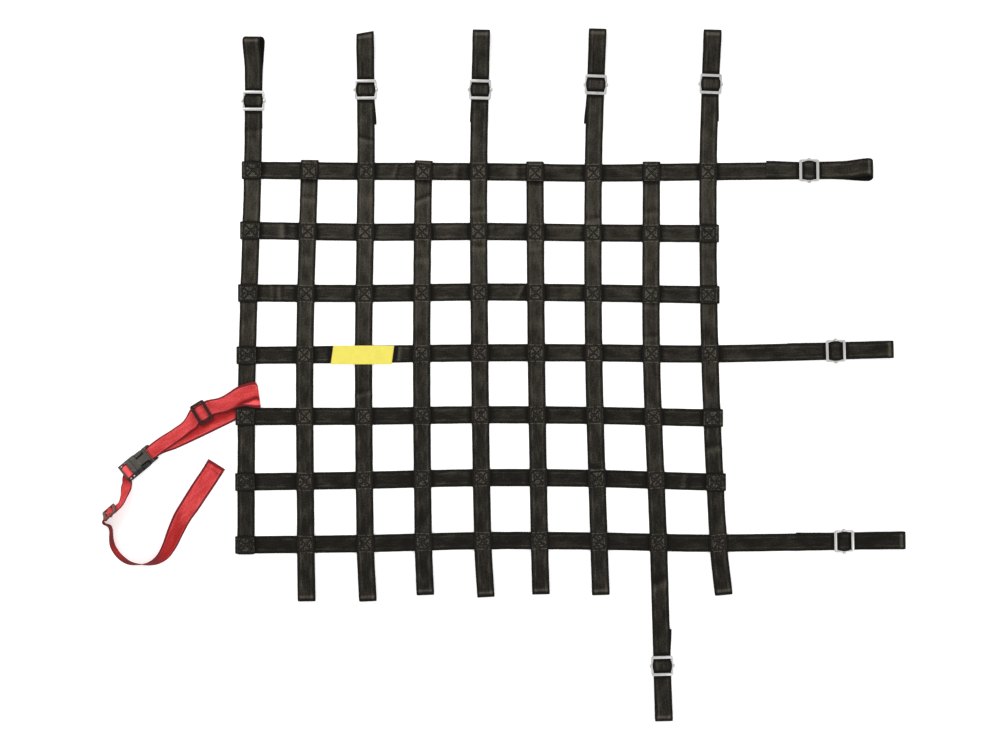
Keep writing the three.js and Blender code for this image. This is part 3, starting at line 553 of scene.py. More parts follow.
def label_finish(name, colour):
    """Bare woven label."""
    material, start = new_finish(name)
    uv, across, along = start.uv_axes("weave")
    across, along = across * PER_MM, along * PER_MM
    fine = across.math("SINE", across * 9.0) * along.math("SINE", along * 9.0)
    cloud = uv.stretched(1000.0, 1000.0, 1.0).noise(0.08, 3.0, 0.6)
    ground = (cloud * 0.8 + fine * 0.08).blend(darker(colour, 0.82), darker(colour, 1.12))
    finish_surface(
        start, {"Base Color": ground, "Roughness": 0.72 + cloud * 0.15, "Sheen Weight": 0.2},
        fine * 0.5 + cloud * 2.0, 0.3, 0.0003)
    return material


def floor_finish(name, colour, glow):
    """Pale matte table, lit a little from below."""
    material, start = new_finish(name)
    place = start.place()
    cloud = place.noise(6.0, 3.0, 0.5)
    ground = cloud.blend(darker(colour, 0.995), colour)
    finish_surface(
        start, {"Base Color": ground, "Roughness": 0.9, "Emission Color": (1, 1, 1, 1),
                "Emission Strength": glow})
    return material


def clamp(value, low=0.0, high=1.0):
    return min(max(value, low), high)


def ease(t):
    return t * t * (3 - 2 * t)


def window(distance, near, far):
    """1 up to near, 0 from far on."""
    return 1 - ease(clamp((distance - near) / (far - near)))


def waver(along, aside, key):
    """Smooth noise, around 0."""
    return noise.noise(Vector((along, aside, key)))


def knotted(knots, at):
    """Value at a place between knots, which are pairs of place and value."""
    for (start, first), (stop, second) in zip(knots, knots[1:]):
        if at <= stop:
            return first + (second - first) * max(at - start, 0.0) / (stop - start)
    return knots[-1][1]


def bridge(first, second, lead, trail, span, t):
    """Smooth way between two values, which leaves and arrives with the given slopes."""
    start = lead * (span * t * (1 - t) * (1 - t))
    return first + (second - first) * ease(t) + start - trail * (span * t * t * (1 - t))


def smooth_line(knots):
    """Smooth line through a few knots, as a function of the place along it."""
    knots = sorted(knots)
    last = len(knots) - 1

    def slope_at(i):
        before = knots[max(i - 1, 0)]
        after = knots[min(i + 1, last)]
        return (after[1] - before[1]) / (after[0] - before[0])

    def line(along):
        i = 0
        while i < last - 1 and along > knots[i + 1][0]:
            i += 1
        (start, first), (stop, second) = knots[i], knots[i + 1]
        span = stop - start
        t = clamp((along - start) / span)
        return bridge(first, second, slope_at(i), slope_at(i + 1), span, t)

    return line


def slope_of(line, along):
    return (line(along + 1) - line(along - 1)) / 2


UPRIGHT_LINES = {
    i: smooth_line([
        (strap.foot_y, strap.foot_x), (KNOT_Y7, strap.x7), (KNOT_Y4, strap.x4),
        (KNOT_Y1, strap.x1), (max(strap.tip_y, KNOT_Y1 + RAMP), strap.tip_x)])
    for i, strap in enumerate(UPRIGHTS, 1)}
CROSS_LINES = {
    j: smooth_line([
        *zip(KNOT_COLUMNS, strap[:5]),
        (strap.tip_x or KNOT_COLUMNS[-1] + 2 * WEB_WIDTH, strap.tip_y or strap.y9)])
    for j, strap in enumerate(CROSS_STRAPS, 1)}


def layer(count):
    return FLOOR + count * LAYER


def fold(tip, outward, low, high, steps=16):
    """Half turn of the webbing at its outermost place, from the low layer to the high one."""
    radius = (high - low) / 2
    centre = tip - outward * (radius + WEB_THICK / 2)
    turn = []
    for i in range(steps + 1):
        angle = math.pi * (i / steps - 0.5)
        turn.append(Place(
            centre + outward * radius * math.cos(angle), low + radius * (1 + math.sin(angle))))
    return turn


def rise_over(at, half, ramp, low, top):
    """Up onto a raised stretch and down again, in rising order of the place along."""
    return [
        Place(at - half - ramp, low), Place(at - half, top), Place(at + half, top),
        Place(at + half + ramp, low)]


def hump(at, level):
    """Over the straps at a crossing."""
    return rise_over(at, HUMP_HALF, RAMP * level, FLOOR, layer(level))


def over_bar(at, level):
    """One layer over the sliding bar of a buckle."""
    crest, ramp = BUCKLE["crest"], BUCKLE["reach"] - BUCKLE["crest"]
    return rise_over(at, crest, ramp, layer(level), BAR_LAYER + level * LAYER)


def adjustable_end(tip, end):
    """From the net out through the buckle, round the loop and back to the end of the tail."""
    out = end.outward
    crest = FLOOR + 2 * end.bulb
    flat_at = end.buckle + out * (BUCKLE["length"] / 2 + 1)
    lower = over_bar(end.buckle, 0)[::out]
    upper = over_bar(end.buckle, 1)[::out] + [Place(flat_at, layer(1))]
    turn = fold(tip, out, FLOOR, crest)
    tail = Place(end.tail, layer(1 if end.on_top else 0), end.stray)
    if end.on_top:
        return lower + turn + upper[::-1] + [tail]
    climb = [
        Place(end.tail - out * (RAMP + TAIL_CLEAR), FLOOR),
        Place(end.tail - out * TAIL_CLEAR, layer(1))]
    return climb + upper + turn[::-1] + lower[::-1] + [tail]


def wrap_end(at, outward, base=0):
    """Strap end wrapped round the strap that it passes under, and sewn on top of it."""
    turn = fold(at + outward * WRAP_REACH, outward, layer(base), layer(base + 2), 8)
    return turn + [Place(at - outward * FLAP_HALF, layer(base + 2))]


def sleeve_end(foot, row_y):
    """Sleeve for a rod: the strap returns behind the last cross strap."""
    turn = fold(foot, -1, FLOOR, FLOOR + 2 * SLEEVE_BULB)
    return [Place(row_y + FLAP_HALF, FLOOR), *turn, *hump(row_y, 2)[1:]]


def meeting(i, j):
    """Where upright i and cross strap j meet."""
    y = CROSS_LINES[j](UPRIGHT_LINES[i](CROSS_STRAPS[j - 1].y5))
    return UPRIGHT_LINES[i](y), y


def upright_profile(i):
    strap, end = UPRIGHTS[i - 1], UPRIGHT_ENDS.get(i)
    rows = {j: meeting(i, j)[1] for j in ROWS}
    if end and end.outward < 0:
        profile = adjustable_end(strap.foot_y, end)[::-1] + hump(rows[7], 1)
    elif i in SLEEVED:
        profile = sleeve_end(strap.foot_y, rows[7])
    else:
        profile = [Place(strap.foot_y, layer(1))] + hump(rows[7], 1)[2:]
    for j in range(6, 1, -1):
        rise = hump(rows[j], 2 if (i, j) == (1, 5) else 1)
        if (i, j) == (1, 5):
            rise = rise[:2] + [Place(RED_LIFT_TOP, layer(2))]
        elif (i, j) == (1, 4):
            rise = rise[1:]
        profile += rise
    if end and end.outward > 0:
        return profile + hump(rows[1], 1) + adjustable_end(strap.tip_y, end)
    return profile + wrap_end(rows[1], 1)


def cross_profile(j):
    tip_x = CROSS_STRAPS[j - 1].tip_x
    columns = {i: meeting(i, j)[0] for i in COLUMNS}
    base = 1 if j == 5 else 0
    profile = wrap_end(columns[1], -1, base)[::-1]
    profile.append(Place(columns[1] + HUMP_HALF, layer(base)))
    if base:
        profile.append(Place(columns[1] + HUMP_HALF + RAMP, FLOOR))
    for i in range(2, 10):
        raised = (j == 1 and i % 2 == 0) or (j == 7 and i in SLEEVED)
        profile += hump(columns[i], 1) if raised else [Place(columns[i], FLOOR)]
    return profile + (adjustable_end(tip_x, CROSS_ENDS[j]) if tip_x else wrap_end(columns[9], 1))


def walked(profile, sewn=()):
    """Places close together along the profile, closest where it is sewn."""
    places = [profile[0]]
    for start, stop in zip(profile, profile[1:]):
        run = math.hypot(stop.along - start.along, stop.height - start.height)
        middle = (start.along + stop.along) / 2
        step = FLAT_STEP
        if min(start.height, stop.height) > FLOOR + 1:
            near = any(abs(middle - seam.along) < HUMP_HALF / 2 for seam in sewn)
            step = SEWN_STEP if near else RAISED_STEP
        count = max(1, math.ceil(run / step))
        for k in range(1, count + 1):
            t = k / count
            places.append(Place(
                start.along + (stop.along - start.along) * t,
                start.height + (stop.height - start.height) * ease(t),
                start.stray + (stop.stray - start.stray) * ease(t)))
    return places


def loop_sway(end, tip, place):
    """Sideways slip of an opened loop: one way below, the other way on top."""
    if end is None or not end.open:
        return 0.0
    start = end.buckle + end.outward * BUCKLE["length"]
    reach = clamp((place.along - start) / (tip - start))
    share = (place.height - FLOOR) / (2 * end.bulb)
    return end.open * ease(reach) * (1 - 2 * share)


def in_plan(is_upright, along, aside, height=0.0):
    """A place or direction of a strap, from along it and aside of it, in the net's frame."""
    return Vector((aside, along, height) if is_upright else (along, aside, height))


def strap_stations(profile, line, is_upright, seams, end, tip):
    stations = []
    for place in walked(profile, seams):
        slope = slope_of(line, place.along)
        if end:
            slope -= end.slant * window(abs(tip - place.along), 4, 24)
        aside = line(place.along) + place.stray + loop_sway(end, tip, place)
        point = in_plan(is_upright, place.along, aside, place.height)
        across = in_plan(is_upright, -slope, 1).normalized()
        spread = max((window(abs(place.along - seam.along), 8, 15) for seam in seams
                      if on_seam(seam, place)), default=0.0)
        wander = 0.35 * waver(place.along / 14, line(0) / 9, 2.5)
        width = WEB_WIDTH + 2 * SEAM_SPREAD * spread + wander + BAR_SPREAD * over_buckle(end, place)
        stations.append(Station(point, across, width, 0.0, place))
    return stations


def upright_on_top(i, j):
    return not (i == 1 or (i == 9 and j in FLAPPED_ROWS))


def seam_level(i, j):
    """Layer that the seam of a crossing lies on."""
    if i == 1:
        return 3 if j == 5 else 2
    if (j == 1 and i % 2 == 0) or (j == 7 and i in SLEEVED) or not upright_on_top(i, j):
        return 2
    return 1


Seam = namedtuple("Seam", "along aside level turn half")


def seam_of(i, j):
    """The seam of a crossing in the frame of the strap that it is sewn on."""
    chance = random.Random(100 * i + j)
    x, y = meeting(i, j)
    shift = (chance.uniform(-0.7, 0.7), chance.uniform(-0.7, 0.7))
    turn = math.radians(chance.uniform(-3.0, 3.0))
    half = SEAM_HALF * chance.uniform(0.96, 1.03)
    along = (y if upright_on_top(i, j) else x) + shift[0]
    return Seam(along, shift[1], seam_level(i, j), turn, half)


def on_seam(seam, place):
    return abs(place.height - layer(seam.level)) < 0.3


def seam_place(seam, along, aside):
    """A place in the seam's own frame, where its box runs from -1 to 1."""
    p, q = along - seam.along, aside - seam.aside
    cos, sin = math.cos(seam.turn), math.sin(seam.turn)
    return (p * cos + q * sin) / seam.half, (q * cos - p * sin) / seam.half


def seam_relief(seam, place, aside):
    """The webbing stands full between the lines of a box and its cross."""
    p, q = seam_place(seam, place.along, aside)
    p, q = abs(p), abs(q)
    ring = max(p, q)
    near = abs(ring - 1)
    if ring < 1:
        near = min(near, abs(p - q) / math.sqrt(2))
    full = ease(min(near * seam.half / SEAM_SOFT, 1.0))
    return SEAM_PILLOW * full * window(ring * seam.half, SEAM_HALF + 1, SEAM_REACH)


def over_buckle(end, place):
    """How far a place on the top layer rises over the bar of its buckle, from 0 to 1."""
    if end is None:
        return 0.0
    rise = window(abs(place.along - end.buckle), BUCKLE["crest"], BUCKLE["reach"])
    return rise if place.height > UNDER_LAYER + (BAR_LAYER - FLOOR) * rise else 0.0


def dressed(creases, seams, crossings, key, ground, folds, end):
    """Lift in millimetres and tone, with painted light and shade, of a place on a strap, as one
    function.
    """
    def lift_and_tone(place, aside):
        lift, tone = 0.0, knotted(ground, place.along)
        free = 1.0
        for at in crossings:
            distance = abs(place.along - at)
            free = min(free, 1 - window(distance, 15, 22))
            # Painted shade on the low webbing beside each crossing, where the strap above shades it
            if place.height < LOW_LAYER:
                tone -= SHADE_BESIDE_CROSSING * window(abs(distance - HUMP_HALF), 0.5, 5.0)
        for seam in seams:
            if on_seam(seam, place):
                lift += seam_relief(seam, place, aside)
                tone -= ROUND_SEAM * window(abs(place.along - seam.along), 10, 14)
        # Creases: lifted, with a painted highlight on the ridge and painted shade just past it
        for at, height, half, slant, light in creases:
            off = (place.along - at - slant * aside) / half
            if abs(off) < 3 and place.height < layer(2):
                ridge = math.exp(-off * off)
                lift += height * ridge
                tone += light * (1.1 * ridge - 0.8 * math.exp(-(off - 1.6) ** 2))
        # Painted highlight on the crest of a fold and painted shade at its tip; the layer under a
        # loop is painted in shade
        for tip, outward in folds:
            inward = (tip - place.along) * outward
            if place.height > UNDER_LAYER:
                tone += FOLD_HIGHLIGHT * window(abs(inward - 7), 0.5, 3) - 1.2 * window(inward, 2.5, 5)
            elif inward < LOOP_LENGTH:
                tone -= SHADE_INSIDE_LOOP
        lift += BAR_LIFT * over_buckle(end, place)
        # Painted shadow on the top layer by the buckle's end bars
        if end and place.height > UNDER_LAYER:
            off = abs(place.along - end.buckle)
            tone -= SHADOW_AT_BUCKLE * window(abs(off - BUCKLE["length"] / 2 + 2), 3.5, 7.5)
        wave = waver(place.along / 17, aside / 30, key * 7.3)
        lift += free * max(0.0, wave + 0.15) * 0.8
        tone += 0.3 * waver(place.along / 23, aside / 15, key * 3.1 + 50)
        return lift, clamp(tone, *BLACK_TONES)

    return lift_and_tone


def linked(name, data):
    """A new object in the scene."""
    made = bpy.data.objects.new(name, data)
    bpy.context.scene.collection.objects.link(made)
    return made


def new_piece(name, bm, finish):
    """A smooth piece at the origin."""
    for face in bm.faces:
        face.smooth = True
    mesh = bpy.data.meshes.new(name)
    bm.to_mesh(mesh)
    bm.free()
    mesh.materials.append(finish)
    return linked(name, mesh)


# Places across the webbing, closest at its edges, and how full it is at the outermost ones
SIDES = (-0.5, -0.478, -0.44, *[-0.44 + 0.88 * k / 18 for k in range(1, 18)], 0.44, 0.478, 0.5)
FULLNESS = {0: 0.35, 1: 0.8}
FAR_FROM_SEAM = (9.0, 9.0)


def woven_sheet(name, stations, width, thickness, finish, dressing, seams=()):
    """A strap through its stations, thin at its edges, with maps of its weave and its seams."""
    last, columns = len(stations) - 1, len(SIDES) - 1
    run = [0.0]
    for before, after in zip(stations, stations[1:]):
        run.append(run[-1] + (after.point - before.point).length)
    ups = []
    for i, station in enumerate(stations):
        heading = stations[min(i + 1, last)].point - stations[max(i - 1, 0)].point
        ups.append(heading.cross(station.across).normalized())
    bm = bmesh.new()
    weave = bm.loops.layers.uv.new("weave")
    sewing = bm.loops.layers.uv.new("seam")
    # Tone of each vertex: random tone, with painted light and shade
    tone_layer = bm.verts.layers.float.new("tone")
    group = bm.verts.layers.deform.verify()
    bmesh.ops.create_grid(bm, x_segments=last, y_segments=columns, size=0.5)
    woven = {}
    for vertex in bm.verts:
        i = round((vertex.co.x + 0.5) * last)
        k = round((vertex.co.y + 0.5) * columns)
        station, side = stations[i], SIDES[k]
        aside = side * station.width
        lift, tone = dressing(station.place, aside)
        point = station.point + station.across * aside
        point += ups[i] * (station.curl * (1 - 4 * side * side))
        point += Z_AXIS * (lift * abs(ups[i].z))
        vertex.co = point * MM
        vertex[tone_layer] = tone
        vertex[group][0] = FULLNESS.get(min(k, columns - k), 1.0)
        woven[vertex] = (i, side * width * MM, run[i] * MM, aside)
    for face in bm.faces:
        spots = [woven[loop.vert] for loop in face.loops]
        places = [stations[spot[0]].place for spot in spots]
        near = [seam for seam in seams if all(
            on_seam(seam, place) and abs(place.along - seam.along) < 2 * SEAM_HALF
            for place in places)]
        for loop, spot, place in zip(face.loops, spots, places):
            loop[weave].uv = spot[1:3]
            loop[sewing].uv = (
                seam_place(near[0], place.along, spot[3]) if near else FAR_FROM_SEAM)
    piece = new_piece(name, bm, finish)
    piece.vertex_groups.new(name="fullness")
    thick = piece.modifiers.new("thickness", "SOLIDIFY")
    thick.thickness = thickness
    thick.offset = 0.0
    thick.vertex_group = "fullness"
    return piece, run[-1] * MM


def place_piece(piece, slot, *nodes):
    """Rides on the net's one body and stands for the named nodes."""
    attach(piece, "root")
    if nodes:
        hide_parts(*nodes)


def black_webbing():
    settings = bpy.context.scene.net_webbing
    yarn = tuple(settings.colour)
    return bpy.data.materials.get("black_webbing") or woven_finish(
        "black_webbing", yarn, tuple(settings.wear_and_highlight), darker(yarn, 0.45), WEB_WIDTH,
        settings.rib / MM, **BLACK_WEAVE, sewn=True)


def weave_strap(node, stations, dressing, seams):
    """Weaves one black strap, which stands for its solid and lies on the table."""
    piece, length = woven_sheet(
        f"webbing_{node}", stations, WEB_WIDTH, bpy.context.scene.net_webbing.thickness,
        black_webbing(), dressing, seams)
    place_piece(piece, "webbing", node)


class NET_OT_stage(bpy.types.Operator):
    """Makes the pale table, the soft lights and the camera straight above the net"""

    bl_idname = "net.stage"
    bl_label = "Stage"

    def execute(self, context):
        settings = context.scene.net_stage
        bm = bmesh.new()
        bmesh.ops.create_grid(bm, x_segments=1, y_segments=1, size=TABLE_SIZE)
        bmesh.ops.translate(bm, verts=bm.verts, vec=(0, 0, -TABLE_DROP))
        finish = floor_finish("table_pale", tuple(settings.floor), settings.glow)
        table = new_piece("table", bm, finish)

        view = bpy.data.cameras.new("camera")
        view.lens = settings.lens
        view.sensor_width = SENSOR_WIDTH
        view.clip_end = FARTHEST_SEEN
        camera = linked("camera", view)
        camera.location = (*VIEW_MIDDLE, settings.frame_width * settings.lens / SENSOR_WIDTH)
        context.scene.camera = camera

        for name, place, size, power in LIGHTS:
            light = bpy.data.lights.new(name, "AREA")
            light.shape = "DISK"
            light.size = size
            light.energy = getattr(settings, power)
            lamp = linked(name, light)
            lamp.location = place
            lamp.rotation_euler = (-Vector(place)).to_track_quat("-Z", "Y").to_euler()

        world = bpy.data.worlds.new("studio")
        world.use_nodes = True
        light_around = world.node_tree.nodes["Background"].inputs
        light_around["Color"].default_value = (1, 1, 1, 1)
        light_around["Strength"].default_value = settings.sky
        context.scene.world = world
        context.scene.view_settings.view_transform = "Standard"
        return {"FINISHED"}


class NET_OT_uprights(bpy.types.Operator):
    """Weaves the nine uprights, with their loops, flaps and sleeves"""

    bl_idname = "net.uprights"
    bl_label = "Uprights"

    def execute(self, context):
        for i, strap in enumerate(UPRIGHTS, 1):
            end = UPRIGHT_ENDS.get(i)
            tip = (strap.tip_y if end.outward > 0 else strap.foot_y) if end else 0.0
            seams = [seam_of(i, j) for j in ROWS if upright_on_top(i, j)]
            rows = [meeting(i, j)[1] for j in ROWS]
            folds = [(tip, end.outward)] if end else []
            if i in SLEEVED:
                folds.append((strap.foot_y, -1))
            stations = strap_stations(
                upright_profile(i), UPRIGHT_LINES[i], True, seams, end, tip)
            dressing = dressed(UPRIGHT_CREASES[i], seams, rows, i, NET_PAINTED_LIGHT, folds, end)
            weave_strap(f"upright_{i}", stations, dressing, seams)
        return {"FINISHED"}


class NET_OT_cross_straps(bpy.types.Operator):
    """Weaves the seven cross straps, with their loops and sewn flaps"""

    bl_idname = "net.cross_straps"
    bl_label = "Cross straps"

    def execute(self, context):
        for j, strap in enumerate(CROSS_STRAPS, 1):
            end = CROSS_ENDS.get(j)
            seams = [seam_of(i, j) for i in COLUMNS if not upright_on_top(i, j)]
            columns = [meeting(i, j)[0] for i in COLUMNS]
            folds = [(strap.tip_x, end.outward)] if end else []
            tone = knotted(NET_PAINTED_LIGHT, strap.y5) + CROSS_TONE
            ground = ((-600.0, tone), (600.0, tone))
            stations = strap_stations(
                cross_profile(j), CROSS_LINES[j], False, seams, end, strap.tip_x or 0.0)
            dressing = dressed(
                CROSS_CREASES.get(j, []), seams, columns, j + 20, ground, folds, end)
            weave_strap(f"cross_{j}", stations, dressing, seams)
        return {"FINISHED"}


def add_stitches(bm, start, stop, pitch, thickness):
    """A row of stitches, each pressed into the cloth at both ends."""
    count = max(1, round((stop - start).length / pitch))
    step = (stop - start) / count
    turn = Z_AXIS.rotation_difference(step).to_matrix()
    for k in range(count):
        made = bmesh.ops.create_uvsphere(bm, u_segments=6, v_segments=4, radius=0.5)["verts"]
        bmesh.ops.scale(bm, verts=made, vec=(thickness, thickness, step.length * 0.84))
        bmesh.ops.rotate(bm, verts=made, cent=(0, 0, 0), matrix=turn)
        bmesh.ops.translate(bm, verts=made, vec=start + step * (k + 0.5))


def box_and_cross(pitch, thickness):
    """Stitches of one seam about the origin, its box running from -SEAM_HALF to SEAM_HALF."""
    bm = bmesh.new()
    corners = [
        Vector((a, b, 0)) * SEAM_HALF * MM for a, b in ((1, 1), (1, -1), (-1, -1), (-1, 1))]
    for a, b in ((0, 1), (1, 2), (2, 3), (3, 0), (0, 2), (1, 3)):
        add_stitches(bm, corners[a], corners[b], pitch, thickness)
    bmesh.ops.recalc_face_normals(bm, faces=bm.faces)
    seam = bpy.data.meshes.new("box_and_cross")
    bm.to_mesh(seam)
    bm.free()
    return seam


def seam_matrix(i, j):
    """Takes the box and cross about the origin to the crossing that it is sewn over."""
    seam = seam_of(i, j)
    upright = upright_on_top(i, j)
    line = UPRIGHT_LINES[i] if upright else CROSS_LINES[j]
    slope = slope_of(line, seam.along)
    along = in_plan(upright, 1, slope).normalized()
    across = in_plan(upright, -slope, 1).normalized()
    middle = in_plan(upright, seam.along, line(seam.along)) + across * seam.aside
    middle.z = layer(seam.level) + WEB_THICK / 2
    cos, sin = math.cos(seam.turn), math.sin(seam.turn)
    first = (along * cos + across * sin) * (seam.half / SEAM_HALF)
    second = (across * cos - along * sin) * (seam.half / SEAM_HALF)
    if not upright:
        first, second = second, -first
    matrix = Matrix((first, second, Z_AXIS)).transposed().to_4x4()
    matrix.translation = middle * MM
    return matrix


class NET_OT_seams(bpy.types.Operator):
    """Sews a box with a cross in it over each of the crossings"""

    bl_idname = "net.seams"
    bl_label = "Seams"

    def execute(self, context):
        settings = context.scene.net_seams
        finish = thread_finish("black_thread", tuple(settings.colour))
        stitches = box_and_cross(settings.pitch, settings.thread)
        for j in ROWS:
            bm = bmesh.new()
            for i in COLUMNS:
                done = len(bm.verts)
                bm.from_mesh(stitches)
                bm.verts.ensure_lookup_table()
                bmesh.ops.transform(bm, matrix=seam_matrix(i, j), verts=bm.verts[done:])
            place_piece(new_piece(f"seams_row_{j}", bm, finish), "webbing")
        return {"FINISHED"}


def soften_edges(bm, offset, segments, angle=0.5):
    """Rounds every edge that is sharper than the angle."""
    sharp = [edge for edge in bm.edges if edge.is_manifold and edge.calc_face_angle() > angle]
    bmesh.ops.bevel(
        bm, geom=sharp, offset=offset, offset_type="OFFSET", affect="EDGES", segments=segments,
        profile=0.5, material=-1, clamp_overlap=True)


def softened_copy(node, name, finish, edge, segments=2):
    """A copy of a solid with its facets joined and its edges rounded."""
    bm = bmesh.new()
    bm.from_mesh(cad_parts[node].data)
    bmesh.ops.remove_doubles(bm, verts=bm.verts, dist=0.000002)
    bmesh.ops.dissolve_limit(
        bm, angle_limit=math.radians(1.0), verts=bm.verts, edges=bm.edges)
    soften_edges(bm, edge, segments)
    return new_piece(name, bm, finish)


class NET_OT_buckles(bpy.types.Operator):
    """Makes the nine slide buckles: a rounded frame and a hooked sliding bar each"""

    bl_idname = "net.buckles"
    bl_label = "Slide buckles"

    def execute(self, context):
        settings = context.scene.net_hardware
        finish = nickel_finish("worn_nickel", tuple(settings.steel))
        straps = [f"upright_{i}" for i in UPRIGHT_ENDS] + [f"cross_{j}" for j in CROSS_ENDS]
        for strap in straps:
            for node, name, edge in (
                    (f"frame_{strap}", f"buckle_frame_{strap}", settings.steel_edge),
                    (f"slide_bar_{strap}", f"buckle_bar_{strap}", settings.steel_edge * 0.5)):
                piece = softened_copy(node, name, finish, edge, 3)
                place_piece(piece, "steel", node)
        return {"FINISHED"}


class NET_OT_label(bpy.types.Operator):
    """Lays the bare label over the third upright"""

    bl_idname = "net.label"
    bl_label = "Label"

    def execute(self, context):
        settings = context.scene.net_release
        low = WEB_THICK + GAP + LABEL["thick"] / 2
        over = rise_over(UPRIGHTS[2].x4, HUMP_HALF, RAMP, low, low + LAYER)
        profile = [Place(LABEL["from"], low), *over, Place(LABEL["to"], low)]
        across = plan_vector(90 - LABEL["slant"])
        stations = [
            Station(Vector((place.along, LABEL["y"], place.height)), across, LABEL["width"],
                    0.0, place)
            for place in walked(profile)]
        finish = label_finish("bare_label", tuple(settings.label))

        def ripple(place, aside):
            return max(0.0, waver(place.along / 11, aside / 8, 4.2)) * 0.7, 0.0

        piece, length = woven_sheet(
            "label", stations, LABEL["width"], LABEL_SHEET * MM, finish, ripple)
        place_piece(piece, "label", "label_patch")
        return {"FINISHED"}


def plan_vector(degrees):
    angle = math.radians(degrees)
    return Vector((math.cos(angle), math.sin(angle), 0))


def at_release(along, aside, height):
    """A place in the release buckle's own frame, in the net's frame."""
    point = Vector((RELEASE["x"], RELEASE["y"], height))
    return point + plan_vector(RELEASE["turn"]) * along + plan_vector(RELEASE["turn"] + 90) * aside


def loop_row(row):
    point = Vector((row.x, row.y, layer(row.level)))
    return Station(point, plan_vector(row.turn), row.width, row.curl)


def through_slider(slider, height, reach):
    """Stations of the webbing through a slider that lies flat, or leans on its long edge."""
    lean = math.radians(slider["lean"])
    side = plan_vector(slider["turn"] + 90)
    across = side * math.cos(lean) + Z_AXIS * math.sin(lean)
    bulge = Z_AXIS * math.cos(lean) - side * math.sin(lean)
    stations = []
    for along, aside in (*SLIDER_WAY, (reach, 0)):
        point = Vector((slider["x"], slider["y"], height))
        point += plan_vector(slider["turn"]) * along + bulge * aside
        stations.append(Station(point, across, SLIDER_WEB))
    return stations


def loop_stations():
    edge, under = LOOP_OUT[-1], LOOP_BACK[0]
    middle = (layer(edge.level) + layer(under.level)) / 2
    radius = (layer(edge.level) - layer(under.level)) / 2
    around_upright = []
    for k in range(LOOP_FOLD["steps"] + 1):
        t = k / LOOP_FOLD["steps"]
        angle = math.pi * (0.5 - t)
        point = Vector((
            LOOP_FOLD["x"] + radius * math.cos(angle), edge.y + (under.y - edge.y) * t,
            middle + radius * math.sin(angle)))
        width = edge.width + (under.width - edge.width) * t
        around_upright.append(Station(point, plan_vector(LOOP_FOLD["turn"]), width))
    bar_top = SOCKET_BAR["low"] + SOCKET_BAR["thick"] + GAP + FLOOR + SOCKET_BAR["slack"]
    across = plan_vector(RELEASE["turn"] + 90)
    half = (bar_top - FLOOR) / 2
    around_bar = [
        (SOCKET_BAR["fold_at"] - FLOOR - half - place.along, place.height)
        for place in fold(0, 1, FLOOR, bar_top, 6)]
    before_bar = SOCKET_BAR["fold_at"] + SOCKET_BAR["before"]
    in_socket = [
        Station(at_release(along, 0, height), across, RED["slot_width"])
        for along, height in ((before_bar, FLOOR), *around_bar, (before_bar, bar_top))]
    return [
        *map(loop_row, LOOP_OUT), *around_upright, *map(loop_row, LOOP_BACK), *in_socket,
        *map(loop_row, LOOP_NEAR), *through_slider(LOOP_SLIDER, layer(1), LOOP_END_REACH)]


def floor_stations(rows):
    """Webbing on the floor: it leans on its lower edge."""
    stations, last = [], len(rows) - 1
    for i, row in enumerate(rows):
        before, after = rows[max(i - 1, 0)], rows[min(i + 1, last)]
        heading = math.atan2(after.y - before.y, after.x - before.x)
        lean = math.radians(row.lean)
        across = Vector((
            -math.sin(heading) * math.cos(lean), math.cos(heading) * math.cos(lean),
            math.sin(lean)))
        rise = (row.width * math.sin(lean) + WEB_THICK * abs(math.cos(lean))) / 2
        stations.append(Station(Vector((row.x, row.y, rise)), across, row.width))
    return stations


def tail_stations():
    threading = [
        Station(at_release(row.along, row.aside, row.height),
                plan_vector(RELEASE["turn"] - 90 + row.swing), row.width)
        for row in TAIL_THREADING]
    leaning = through_slider(TAIL_SLIDER, TAIL_SLIDER_HEIGHT, SLIDER["along"] / 2)
    flat = floor_stations(TAIL_DROP)
    heading = (flat[-1].point - flat[-2].point).normalized()
    turn = fold(HEM["bulb"] + FLOOR, 1, FLOOR, FLOOR + 2 * HEM["bulb"], 6)
    hem = []
    for place in [*turn, Place(-HEM["length"], FLOOR + 2 * HEM["bulb"])]:
        point = flat[-1].point + heading * (place.along + HEM["past"])
        point.z = place.height
        hem.append(Station(point, flat[-1].across, RED["width"]))
    return [*threading, *floor_stations(TAIL_RUN), *leaning, *flat, *hem]


def flowing(stations, step=2.0):
    """Stations close together on a smooth line through the given ones."""
    last = len(stations) - 1
    gaps = [(b.point - a.point).length for a, b in zip(stations, stations[1:])]
    fields = list(zip(*stations))[:4]

    def slope(i, values):
        before, after = max(i - 1, 0), min(i + 1, last)
        if before == i or after == i:
            return (values[after] - values[before]) / sum(gaps[before:after])
        near, far = gaps[i - 1], gaps[i]
        first, second = (values[i] - values[before]) / near, (values[after] - values[i]) / far
        return (first * far + second * near) / (near + far)

    flow = []
    for i in range(last):
        count = max(1, math.ceil(gaps[i] / step))
        for k in range(count):
            point, across, width, curl = (
                bridge(values[i], values[i + 1], slope(i, values), slope(i + 1, values), gaps[i],
                       k / count)
                for values in fields)
            flow.append(Station(point, across.normalized(), width, curl, Place(i + k / count, 0.0)))
    return flow + [stations[-1]._replace(place=Place(last, 0.0))]


